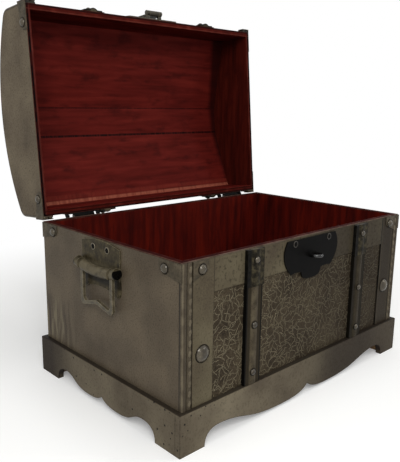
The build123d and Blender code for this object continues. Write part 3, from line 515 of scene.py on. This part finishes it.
# %% Black lacquer and antiqued plating
ROLL_END = 42.9


def black_lacquer(name, low="050505", high="0F0E0D", edge="24211D", rough=(0.42, 0.56),
                  specular=0.03):
    """Black lacquer over stamped steel, a little browner where it is thin."""
    finish, tree, shader, place, _ = new_finish(name)
    clouds, base = clouded(tree, place, 12, (low, high), spread=0.2, Detail=4.0)
    base = edged(tree, base, 0.7, edge)
    dimples = add(tree, "ShaderNodeTexNoise", {"Vector": place, "Scale": 1 / 3, "Detail": 3.0})
    surfaced(tree, shader, base, (clouds, *rough), (dimples, 0.2, 0.2), specular)
    return finish


def antiqued_plating(name, low, mid, high, edge, metallic=0.15, rough=(0.28, 0.45), specular=0.5,
                     shaded_roll_ends=False, lines=()):
    """Blackened plating in three tones, buffed on its edges (on handles also painted highlight)."""
    finish, tree, shader, place, axes = new_finish(name)
    clouds, base = clouded(tree, place, 8, (low, mid, high), spread=0.2, Detail=5.0, Roughness=0.6)
    base = edged(tree, base, 0.7, edge)
    base = with_lines(tree, axes, base, clouds, lines)
    # Painted shade: the ends of the solid rolls are black, as inside a hollow roll.
    if shaded_roll_ends:
        inside = add(tree, "ShaderNodeMath", {0: apart(tree, axes[Y], HANDLE_MIDDLE), 1: ROLL_END},
                     operation="GREATER_THAN")
        base = washed(tree, base, [(inside, 0.0, 1.0, 1.0, "070605")])
    scuffs = add(tree, "ShaderNodeTexNoise", {"Vector": place, "Scale": 1 / 2, "Detail": 3.0})
    surfaced(tree, shader, base, (clouds, *rough), (scuffs, 0.25, 0.2), specular, metallic)
    return finish


lacquer = black_lacquer("black_lacquered_steel")
staple_lacquer = black_lacquer("glossy_lacquered_wire", rough=(0.12, 0.22), specular=0.5)
nail_plating = antiqued_plating(
    "antiqued_nail_plating", "2B261D", "453E31", "5C5444", "4A4335", metallic=0.3,
    rough=(0.18, 0.3))
# Painted highlight along the handle's roll and painted shadow under it.
roll_highlight_and_shadow = [
    (Z, HANDLE_PIVOT + 0.5, 6.5, "5F5746", 0.9), (Z, HANDLE_PIVOT - 13.5, 6.5, "120F0A", 0.9)]
# Handle plates: pale edges, partly buffing and partly painted highlight.
handle_plating = antiqued_plating(
    "antiqued_handle_plating", "231E14", "3B3425", "524A36", "8A8068", metallic=0.0, specular=0.06,
    shaded_roll_ends=True, lines=roll_highlight_and_shadow)
# Bails: pale edges, partly buffing and partly painted highlight, and black ends as painted shade.
bail_plating = antiqued_plating(
    "antiqued_bail_plating", "352E22", "4E4737", "635B49", "A39980", metallic=0.0, specular=0.2,
    shaded_roll_ends=True)
hasp_plating = antiqued_plating(
    "antiqued_hasp_plating", "241F17", "353026", "494334", "777059", specular=0.2)
pin_steel = antiqued_plating("dull_pin_steel", "2E2C29", "45423D", "5C5952", "7D7972", metallic=0.8)
print("two lacquers and five platings")

# %% [markdown]
# Each CAD piece takes the finish of the real one. The record's material slots say what most
# pieces are made of. Some need their own cut: the boards whose grain runs another way, the
# planks with their joints, and the side whose cloth was glued in folds.

# %% Dress the CAD pieces
finishes = {
    "leathercloth": taupe_leathercloth,
    "crackle_leather": crackle_ground,
    "patch_leather": patch_leathercloth,
    "stained_wood": wood_along_width,
    "plinth_wood": plinth_paint,
    "raw_wood": pine,
    "black_iron": lacquer,
    "pin_steel": pin_steel,
    "antique_brass": nail_plating,
}
own_cuts = (
    (creased_leathercloth, "left_cover"),
    (band_leathercloth, "top_band"),
    (front_leathercloth, "corner_strips"),
    (lit_end_leathercloth, "lid_end_cover_left lid_end_cover_right"),
    (trim_leathercloth, "edge_trims"),
    (lid_trim_leathercloth, "lid_edge_trims"),
    (cap_leathercloth, "batten_cap_left batten_cap_right"),
    (strap_end_leathercloth, "lid_strap_caps"),
    (batten_leathercloth, "batten_left batten_right lid_strap_left lid_strap_right"),
    (binding, "rim_binding"),
    (lid_binding, "lid_rim_binding"),
    (wood_upright, "front_board back_board left_board right_board"),
    (wood_ends, "lid_end_left lid_end_right"),
    (wood_planks, "lid_slat_front lid_slat_middle lid_slat_back"),
    (staple_lacquer, "staple"),
    (handle_plating, "handle_plate_left handle_plate_right"),
    (bail_plating, "bail_left bail_right"),
    (hasp_plating, "hasp hasp_plate"),
)
special = {name: finish for finish, names in own_cuts for name in names.split()}
for part in frame["record"]["subparts"]:
    name = part["node"]
    finish = special.get(name, finishes[part["material_slot"]])
    for slot in nodes[name].material_slots:
        slot.material = finish

# %% [markdown]
# Geometry Nodes make the details that repeat. Each tree is built here, with named inputs for
# its sizes, and it is used through a modifier on a small guide mesh. The sizes keep their
# defaults, the material input is set by its identifier, and the evaluated result becomes a
# plain mesh, because the exported model can't carry instances or a live modifier. Shapes are in
# metres, Blender's own unit.

# %% Trees and pieces
def new_tree(name, sizes):
    """A Geometry Nodes tree whose named inputs are sizes in metres, and a material."""
    tree = bpy.data.node_groups.new(name, "GeometryNodeTree")
    tree.interface.new_socket("Guide", in_out="INPUT", socket_type="NodeSocketGeometry")
    tree.interface.new_socket("Piece", in_out="OUTPUT", socket_type="NodeSocketGeometry")
    for size, value in sizes.items():
        socket = tree.interface.new_socket(size, in_out="INPUT", socket_type="NodeSocketFloat")
        socket.default_value = value
    tree.interface.new_socket("Finish", in_out="INPUT", socket_type="NodeSocketMaterial")
    return tree, add(tree, "NodeGroupInput").outputs


def finish_tree(tree, shapes, finish):
    """Close a tree: realize what repeats, smooth it, set its material and hand it out."""
    real = add(tree, "GeometryNodeRealizeInstances", {"Geometry": shapes})
    smooth = add(tree, "GeometryNodeSetShadeSmooth", {0: real})
    dressed = add(tree, "GeometryNodeSetMaterial", {"Geometry": smooth, "Material": finish})
    add(tree, "NodeGroupOutput", {"Piece": dressed})


def make_piece(name, guide, tree, finish, body):
    """Run a tree over a guide mesh and keep the result as a plain piece that rides on a body."""
    holder = bpy.data.objects.new(name, guide)
    bpy.context.collection.objects.link(holder)
    modifier = holder.modifiers.new(tree.name, "NODES")
    modifier.node_group = tree
    for item in tree.interface.items_tree:
        if item.name == "Finish":
            modifier[item.identifier] = finish
    evaluated = holder.evaluated_get(bpy.context.evaluated_depsgraph_get())
    mesh = bpy.data.meshes.new_from_object(evaluated)
    holder.modifiers.remove(modifier)
    holder.data = mesh
    mesh.name = name
    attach(holder, body)
    print(name, sum(len(face.vertices) - 2 for face in mesh.polygons), "triangles")


def guide_mesh(name, places, edges=(), faces=(), **fields):
    """A guide from places in metres, with named vectors or numbers at its points."""
    mesh = bpy.data.meshes.new(name)
    mesh.from_pydata(places, edges, faces)
    for field, values in fields.items():
        number = isinstance(values[0], float)
        attribute = mesh.attributes.new(field, "FLOAT" if number else "FLOAT_VECTOR", "POINT")
        for item, value in zip(attribute.data, values):
            setattr(item, "value" if number else "vector", value)
    return mesh


print("helpers for Geometry Nodes ready")

# %% [markdown]
# The crackle's raised threads: thin pale ridges, some 17 mm long, that curl, cross and run
# into each other. Each starts as a straight run of points, laid down at a random turn where
# points are scattered evenly over the panel. One field of noise then shoves all the points
# about in the panel's plane, so neighbours bend alike, as they do in pressed cloth. Points
# that leave the panel are dropped, and every run left becomes a low ridge that thins at
# its ends.

# %% Threads of the crackled leathercloth
PANEL_X, PANEL_Y, PANEL_Z = (-0.1815, 0.1815), -0.205, (0.0535, 0.1855)
RUN_STEPS = 12


def crackle_tree():
    """Curled ridges scattered over a flat panel that faces the front."""
    tree, sizes = new_tree("crackle_threads", {
        "Spacing": 0.0050, "Length": 0.017, "Thickness": 0.00042,
        "Curl": 0.012, "Curl Size": 0.0065})
    spots = add(tree, "GeometryNodeDistributePointsOnFaces", {
        "Mesh": sizes["Guide"], "Distance Min": sizes["Spacing"],
        "Density Max": 60000.0, "Seed": 7}, distribute_method="POISSON")
    half = add(tree, "ShaderNodeMath", {0: sizes["Length"], 1: -0.5}, operation="MULTIPLY")
    start = add(tree, "ShaderNodeCombineXYZ", {"X": half})
    step = add(tree, "ShaderNodeMath", {0: sizes["Length"], 1: RUN_STEPS}, operation="DIVIDE")
    step = add(tree, "ShaderNodeCombineXYZ", {"X": step})
    run = add(tree, "GeometryNodeMeshLine",
              {"Count": RUN_STEPS + 1, "Start Location": start, "Offset": step}, mode="OFFSET")
    turn = add(tree, "FunctionNodeRandomValue", {"Min": 0.0, "Max": math.pi, "Seed": 3},
               data_type="FLOAT")
    turn = add(tree, "ShaderNodeCombineXYZ", {"Y": turn})
    stretch = add(tree, "FunctionNodeRandomValue", {"Min": 0.45, "Max": 1.25, "Seed": 5},
                  data_type="FLOAT")
    runs = add(tree, "GeometryNodeInstanceOnPoints",
               {"Points": spots, "Instance": run, "Rotation": turn, "Scale": stretch})
    runs = add(tree, "GeometryNodeRealizeInstances", {"Geometry": runs})
    place = add(tree, "GeometryNodeInputPosition")
    often = add(tree, "ShaderNodeMath", {0: 1.0, 1: sizes["Curl Size"]}, operation="DIVIDE")
    shove = add(tree, "ShaderNodeTexNoise", {"Vector": place, "Scale": often, "Detail": 2.0})
    shove = add(tree, "ShaderNodeVectorMath", {0: shove.outputs["Color"], 1: (0.5, 0.5, 0.5)},
                operation="SUBTRACT")
    much = add(tree, "ShaderNodeCombineXYZ", {"X": sizes["Curl"], "Z": sizes["Curl"]})
    shove = add(tree, "ShaderNodeVectorMath", {0: shove, 1: much}, operation="MULTIPLY")
    runs = add(tree, "GeometryNodeSetPosition", {"Geometry": runs, "Offset": shove})
    axes = add(tree, "ShaderNodeSeparateXYZ", {"Vector": place}).outputs
    for axis, (low, high) in ((X, PANEL_X), (Z, PANEL_Z)):
        below = add(tree, "ShaderNodeMath", {0: axes[axis], 1: low}, operation="LESS_THAN")
        above = add(tree, "ShaderNodeMath", {0: axes[axis], 1: high}, operation="GREATER_THAN")
        outside = add(tree, "ShaderNodeMath", {0: below, 1: above}, operation="MAXIMUM")
        runs = add(tree, "GeometryNodeDeleteGeometry", {"Geometry": runs, "Selection": outside},
                   domain="POINT")
    curves = add(tree, "GeometryNodeMeshToCurve", {"Mesh": runs})
    along = add(tree, "GeometryNodeSplineParameter").outputs["Factor"]
    from_end = add(tree, "ShaderNodeMath", {0: along, 1: along}, operation="MULTIPLY")
    from_end = add(tree, "ShaderNodeMath", {0: along, 1: from_end}, operation="SUBTRACT")
    thin = add(tree, "ShaderNodeMapRange", {"Value": from_end, "From Max": 0.12, "To Min": 0.25})
    curves = add(tree, "GeometryNodeSetCurveRadius", {"Curve": curves, "Radius": thin})
    section = add(tree, "GeometryNodeCurvePrimitiveCircle",
                  {"Resolution": 5, "Radius": sizes["Thickness"]}, mode="RADIUS")
    ridges = add(tree, "GeometryNodeCurveToMesh",
                 {"Curve": curves, "Profile Curve": section, "Fill Caps": True})
    finish_tree(tree, ridges, sizes["Finish"])
    return tree


panel_corners = [(x, PANEL_Y, z) for z in PANEL_Z for x in PANEL_X]
panel = guide_mesh("panel", panel_corners, faces=[(0, 1, 3, 2)])
# The thread tops are also painted darker toward the right, as shade.
thread_tops = embossed_leathercloth(
    "crackle_thread_tops", "90866D", "7C725C", "5A5241", pits="3B3529", cloud=14, shade_to_right=0.65)
make_piece("crackle_threads", panel, crackle_tree(), thread_tops, "chest")

# %% [markdown]
# Round the head of every nail a dark ring is laid, and round every screw a bright ring, which
# is a painted highlight on the rim of the screw's head. The CAD heads are there already, so a
# ring is laid round each. Every head is a loose shell with a flat base: its largest flat side
# gives the middle, the outward direction and the radius, and these ride on the guide's points
# as fields. A Python set has no fixed order, so heads and corners are kept in lists and
# dictionaries, and the rings come out the same in every run.

# %% Rings round nails and screws
WELD = 1e-6
SCREW_RING_INWARDS = 0.0002
HANDLES_BEYOND, ANYWHERE = 0.22, 1.0


def shells_of(mesh):
    """The loose shells of a mesh, each a list of faces, in the order of the mesh's faces."""
    seen = set()
    for first in mesh.faces:
        if first not in seen:
            seen.add(first)
            shell = [first]
            for face in shell:
                near = (other for edge in face.edges for other in edge.link_faces)
                for other in near:
                    if other not in seen:
                        seen.add(other)
                        shell.append(other)
            yield shell


def heads_of(name):
    """The middle, outward direction and radius of each loose head in a CAD node."""
    heads, found = bmesh.new(), []
    heads.from_mesh(nodes[name].data)
    bmesh.ops.remove_doubles(heads, verts=heads.verts, dist=WELD)
    for shell in shells_of(heads):
        flats = {}
        for face in shell:
            flats.setdefault(tuple(round(c, 2) for c in face.normal), []).append(face)
        base = max(flats.values(), key=lambda faces: sum(face.calc_area() for face in faces))
        rim = dict.fromkeys(vertex for face in base for vertex in face.verts)
        middle = sum((vertex.co for vertex in rim), Vector()) / len(rim)
        radius = max((vertex.co - middle).length for vertex in rim)
        found.append((middle, -base[0].normal, radius))
    heads.free()
    return found


def ring_tree(name, thickness):
    """A ring round each guide point, square to its aim and as wide as its girth."""
    tree, sizes = new_tree(name, {"Thickness": thickness})
    aim = add(tree, "GeometryNodeInputNamedAttribute", {"Name": "aim"}, data_type="FLOAT_VECTOR")
    girth = add(tree, "GeometryNodeInputNamedAttribute", {"Name": "girth"}, data_type="FLOAT")
    facing = add(tree, "FunctionNodeAlignRotationToVector", {"Vector": aim}, axis="Z")
    hoop = add(tree, "GeometryNodeCurvePrimitiveCircle", {"Resolution": 20, "Radius": 1.0},
               mode="RADIUS")
    hoops = add(tree, "GeometryNodeInstanceOnPoints",
                {"Points": sizes["Guide"], "Instance": hoop, "Rotation": facing, "Scale": girth})
    hoops = add(tree, "GeometryNodeRealizeInstances", {"Geometry": hoops})
    section = add(tree, "GeometryNodeCurvePrimitiveCircle",
                  {"Resolution": 6, "Radius": sizes["Thickness"]}, mode="RADIUS")
    rings = add(tree, "GeometryNodeCurveToMesh", {"Curve": hoops, "Profile Curve": section})
    finish_tree(tree, rings, sizes["Finish"])
    return tree


def rings_round(name, node, tree, finish, body, inwards=0.0, beyond=0.0, within=ANYWHERE):
    """Rings round a node's heads that lie between two distances from the middle, set inwards."""
    found = [head for head in heads_of(node) if beyond < abs(head[0].x) < within]
    middles, aims, radii = zip(*found)
    guide = guide_mesh(name, middles, aim=aims, girth=[radius - inwards for radius in radii])
    make_piece(name, guide, tree, finish, body)


# A dark ring round every nail head.
glaze = black_lacquer("dark_nail_ring_lacquer", "15130F", "221F19", "2A261F")
nail_ring = ring_tree("dark_nail_ring", 0.0009)
for body in ("chest", "lid"):
    rings_round(body + "_nail_rings", body + "_nails", nail_ring, glaze, body)
# Bright rings round the screw heads are painted highlights: pale on the handles, dim grey on the
# lock plate, and in the hasp's plating on the lid.
screw_highlight_plating = antiqued_plating("screw_highlight_plating", "4A4435", "625A48", "776E5A", "857B66")
dim_highlight_plating = antiqued_plating(
    "dim_screw_highlight_plating", "24211C", "35312A", "45403A", "55504A", specular=0.2)
screw_ring = ring_tree("screw_highlight_ring", 0.0007)
for name, body, finish, beyond, within in (
        ("handle_screw_rings", "chest", screw_highlight_plating, HANDLES_BEYOND, ANYWHERE),
        ("lock_screw_rings", "chest", dim_highlight_plating, 0.0, HANDLES_BEYOND),
        ("lid_screw_rings", "lid", hasp_plating, 0.0, ANYWHERE)):
    rings_round(name, body + "_screws", screw_ring, finish, body,
                SCREW_RING_INWARDS, beyond, within)

# %% [markdown]
# The inner bead of each trim over the corners is embossed with long flat pads, 12 mm apart,
# that look like a coarse braid. They lie along the bead's crest, a little aslant, mirrored on
# the other side, and are sunk 0.7 mm into it, so only their tops show. The guide is a line
# along the crest, which carries the outward direction and the slant. On the lid the line
# follows the arch, which is worked out from the same sizes as the CAD model: walls, rounded
# shoulders and a shallow arch, drawn closed and then turned open about the hinge.

# %% Braid on the trims
TRIM, TRIM_RISE, PAD_SUNK = 0.015, 0.0040, 0.0007
CREST_SHARE, SLANT = 0.75, 0.12
CLOTH_FRONT, TRIM_FOOT, TRIM_TOP = -0.2035, 0.0605, 0.2195
LID_MIDDLE, LID_HALF_DEPTH, LID_TRIM_FOOT = -0.053, 0.148, 0.2395
ARCH_CENTRE, ARCH, SHOULDER = 0.0135, 0.318, 0.012
SHOULDER_STEPS, ARCH_STEPS = 6, 24
HINGE = Vector((0.0, 0.100, 0.22825))
OPEN = Matrix.Rotation(math.radians(-95), 3, "X")


def braid_tree():
    """Slanted pads at even steps along the guide's edges."""
    tree, sizes = new_tree("trim_braid", {
        "Step": 0.0122, "Pad Length": 0.0056, "Pad Width": 0.0026, "Pad Height": 0.0012})
    crests = add(tree, "GeometryNodeMeshToCurve", {"Mesh": sizes["Guide"]})
    crests = add(tree, "GeometryNodeResampleCurve", {"Curve": crests, "Length": sizes["Step"]},
                 mode="LENGTH")
    aim = add(tree, "GeometryNodeInputNamedAttribute", {"Name": "aim"}, data_type="FLOAT_VECTOR")
    slant = add(tree, "GeometryNodeInputNamedAttribute", {"Name": "slant"}, data_type="FLOAT")
    facing = add(tree, "FunctionNodeAlignRotationToVector", {"Vector": aim}, axis="Z")
    facing = add(tree, "FunctionNodeAlignRotationToVector",
                 {"Rotation": facing, "Vector": add(tree, "GeometryNodeInputTangent")},
                 axis="X", pivot_axis="Z")
    turn = add(tree, "FunctionNodeAxisAngleToRotation", {"Axis": (0, 0, 1), "Angle": slant})
    facing = add(tree, "FunctionNodeRotateRotation", {"Rotation": facing, "Rotate By": turn},
                 rotation_space="LOCAL")
    size = add(tree, "ShaderNodeCombineXYZ",
               {"X": sizes["Pad Length"], "Y": sizes["Pad Width"], "Z": sizes["Pad Height"]})
    pad = add(tree, "GeometryNodeMeshUVSphere", {"Segments": 8, "Rings": 5, "Radius": 1.0})
    pad = add(tree, "GeometryNodeTransform", {"Geometry": pad, "Scale": size})
    pads = add(tree, "GeometryNodeInstanceOnPoints",
               {"Points": crests, "Instance": pad, "Rotation": facing})
    finish_tree(tree, pads, sizes["Finish"])
    return tree


def crest_lines(half_width, path):
    """A line on each side's trim, along a path of places and directions in Y and Z."""
    places, edges, aims, slants = [], [], [], []
    for side in (-1, 1):
        first = len(places)
        for place, aim in path:
            places.append((side * (half_width - TRIM * CREST_SHARE), place.y, place.z))
            aims.append(aim)
            slants.append(side * SLANT)
        edges += [(index, index + 1) for index in range(first, len(places) - 1)]
    return guide_mesh("crests", places, edges, aim=aims, slant=slants)


def arc(middle, radius, angles):
    """Places and outward directions along an arc round a middle, each across and up."""
    aims = [(math.cos(angle), math.sin(angle)) for angle in angles]
    return [((middle[0] + radius * aim[0], middle[1] + radius * aim[1]), aim) for aim in aims]


def lid_crest():
    """Places and outward directions over the open lid, at the top of its trims' beads."""
    rise = TRIM_RISE - PAD_SUNK
    reach = LID_HALF_DEPTH - SHOULDER
    lean = math.acos(reach / (ARCH - SHOULDER))
    shoulder_z = ARCH_CENTRE + (ARCH - SHOULDER) * math.sin(lean)
    path = [((LID_HALF_DEPTH + rise, z), (1, 0)) for z in (LID_TRIM_FOOT, shoulder_z)]
    path += arc((reach, shoulder_z), SHOULDER + rise,
                [lean * step / SHOULDER_STEPS for step in range(1, SHOULDER_STEPS)])
    path += arc((0.0, ARCH_CENTRE), ARCH + rise,
                [lean + (math.pi / 2 - lean) * step / ARCH_STEPS for step in range(ARCH_STEPS + 1)])
    path += [((-across, up), (-aim[0], aim[1])) for (across, up), aim in reversed(path[:-1])]
    return [(HINGE + OPEN @ (Vector((0, LID_MIDDLE + across, up)) - HINGE),
             OPEN @ Vector((0, *aim))) for (across, up), aim in path]


crest_y = CLOTH_FRONT - TRIM_RISE + PAD_SUNK
front_crest = [(Vector((0, crest_y, z)), (0, -1, 0)) for z in (TRIM_FOOT, TRIM_TOP)]
braid = braid_tree()
braid_finish = embossed_leathercloth("braid_tops", "6A6150", "5E5545", "494134", pits="2E271F")
for name, half_width, crest, body in (
        ("trim_braid", HALF_WIDTH, front_crest, "chest"),
        ("lid_trim_braid", LID_HALF_WIDTH, lid_crest(), "lid")):
    make_piece(name, crest_lines(half_width * MM, crest), braid, braid_finish, body)

# %% [markdown]
# A plain pale floor, a white surround and soft lamps. The key lamp at the front left gives the
# chest its form, the small fill lamp at the front right puts a highlight on each dome and
# bead, and the top lamp lights the lid's crest and the rims. Near the chest the floor is matt
# and shows its soft shadow. Farther out it turns into the white of the surround for the
# camera and for reflections, so that no seam shows, while it still lights the chest from
# below as a pale floor does.

# %% Floor, surround and lamps
FLOOR_SIZE = 14.0
FADE_FROM, FADE_TO = 380.0, 900.0
FLOOR_LIFT, LIT_BY_SURROUND = 0.22, 0.35
CHEST_MIDDLE = Vector((0, 0, 0.22))


def seen_directly(tree):
    """One for what the camera sees, straight or by reflection, and none for what lights."""
    path = add(tree, "ShaderNodeLightPath").outputs
    seen = add(tree, "ShaderNodeMath", {0: path["Is Camera Ray"], 1: path["Is Glossy Ray"]},
               operation="MAXIMUM")
    return add(tree, "ShaderNodeMath", {0: seen, 1: path["Is Transmission Ray"]},
               operation="MAXIMUM")


def studio_floor():
    """A wide pale floor that fades into the white surround."""
    bpy.ops.mesh.primitive_plane_add(size=FLOOR_SIZE)
    floor = bpy.context.object
    floor.name = "studio_floor"
    finish, tree, shader, place, _ = new_finish("pale_floor")
    tree.nodes.remove(shader)
    away = add(tree, "ShaderNodeVectorMath", {0: place}, operation="LENGTH").outputs["Value"]
    far = add(tree, "ShaderNodeMapRange",
              {"Value": away, "From Min": FADE_FROM, "From Max": FADE_TO},
              interpolation_type="SMOOTHSTEP")
    far = add(tree, "ShaderNodeMath", {0: far, 1: seen_directly(tree)}, operation="MULTIPLY")
    matt = add(tree, "ShaderNodeBsdfDiffuse", {"Color": "F0F0EE"})
    lift = add(tree, "ShaderNodeMath", {0: seen_directly(tree), 1: FLOOR_LIFT},
               operation="MULTIPLY")
    glow = add(tree, "ShaderNodeEmission", {"Color": "FFFFFF", "Strength": lift})
    near = add(tree, "ShaderNodeAddShader", {0: matt, 1: glow})
    white = add(tree, "ShaderNodeEmission", {"Color": "FFFFFF", "Strength": 1.0})
    both = add(tree, "ShaderNodeMixShader", {0: far, 1: near, 2: white})
    fill(tree, tree.nodes["Material Output"], {"Surface": both})
    floor.data.materials.append(finish)


def white_surround():
    """White to the camera and in reflections, and a soft fill light otherwise."""
    world = bpy.data.worlds.new("white_surround")
    bpy.context.scene.world = world
    world.use_nodes = True
    tree = world.node_tree
    tree.nodes.clear()
    strength = add(tree, "ShaderNodeMapRange",
                   {"Value": seen_directly(tree), "To Min": LIT_BY_SURROUND, "To Max": 1.0})
    back = add(tree, "ShaderNodeBackground", {"Color": "FFFFFF", "Strength": strength})
    add(tree, "ShaderNodeOutputWorld", {"Surface": back})


def soft_lamp(name, place, size, watts):
    """A square softbox that points at the middle of the chest."""
    data = bpy.data.lights.new(name, "AREA")
    data.size = size
    data.energy = watts
    lamp = bpy.data.objects.new(name, data)
    bpy.context.collection.objects.link(lamp)
    lamp.location = place
    lamp.rotation_euler = (CHEST_MIDDLE - Vector(place)).to_track_quat("-Z", "Y").to_euler()


studio_floor()
white_surround()
soft_lamp("key_lamp", (-1.06, -1.20, 1.26), 0.85, 20)
soft_lamp("fill_lamp", (1.5, -1.6, 1.5), 0.35, 6)
soft_lamp("top_lamp", (0.1, -0.3, 2.2), 1.2, 12)
print("floor, surround and three lamps set")

# %% [markdown]
# The camera stands where the photographer stood, worked out from the chest's corners: at the
# front left, a little above the rim, with a long side of 462 pixels in view.

# %% Camera
FOCAL_PIXELS = 585.505
LONG_SIDE_PIXELS = 462
AZIMUTH, ELEVATION, ROLL = 43.284, 12.234, 0.778
STAND = (-0.630668, -0.658474, 0.395156)


def photo_camera():
    """A camera from its place, its two angles and its roll."""
    data = bpy.data.cameras.new("photo_camera")
    data.sensor_width = 36
    data.lens = FOCAL_PIXELS / LONG_SIDE_PIXELS * data.sensor_width
    camera = bpy.data.objects.new("photo_camera", data)
    bpy.context.collection.objects.link(camera)
    turn = (Matrix.Rotation(math.radians(-AZIMUTH), 4, "Z")
            @ Matrix.Rotation(math.radians(90 - ELEVATION), 4, "X")
            @ Matrix.Rotation(math.radians(ROLL), 4, "Z"))
    camera.matrix_world = Matrix.Translation(STAND) @ turn
    bpy.context.scene.camera = camera
    return camera


camera = photo_camera()
bpy.context.scene.view_settings.view_transform = "Standard"
print("lens", round(camera.data.lens, 2), "mm")
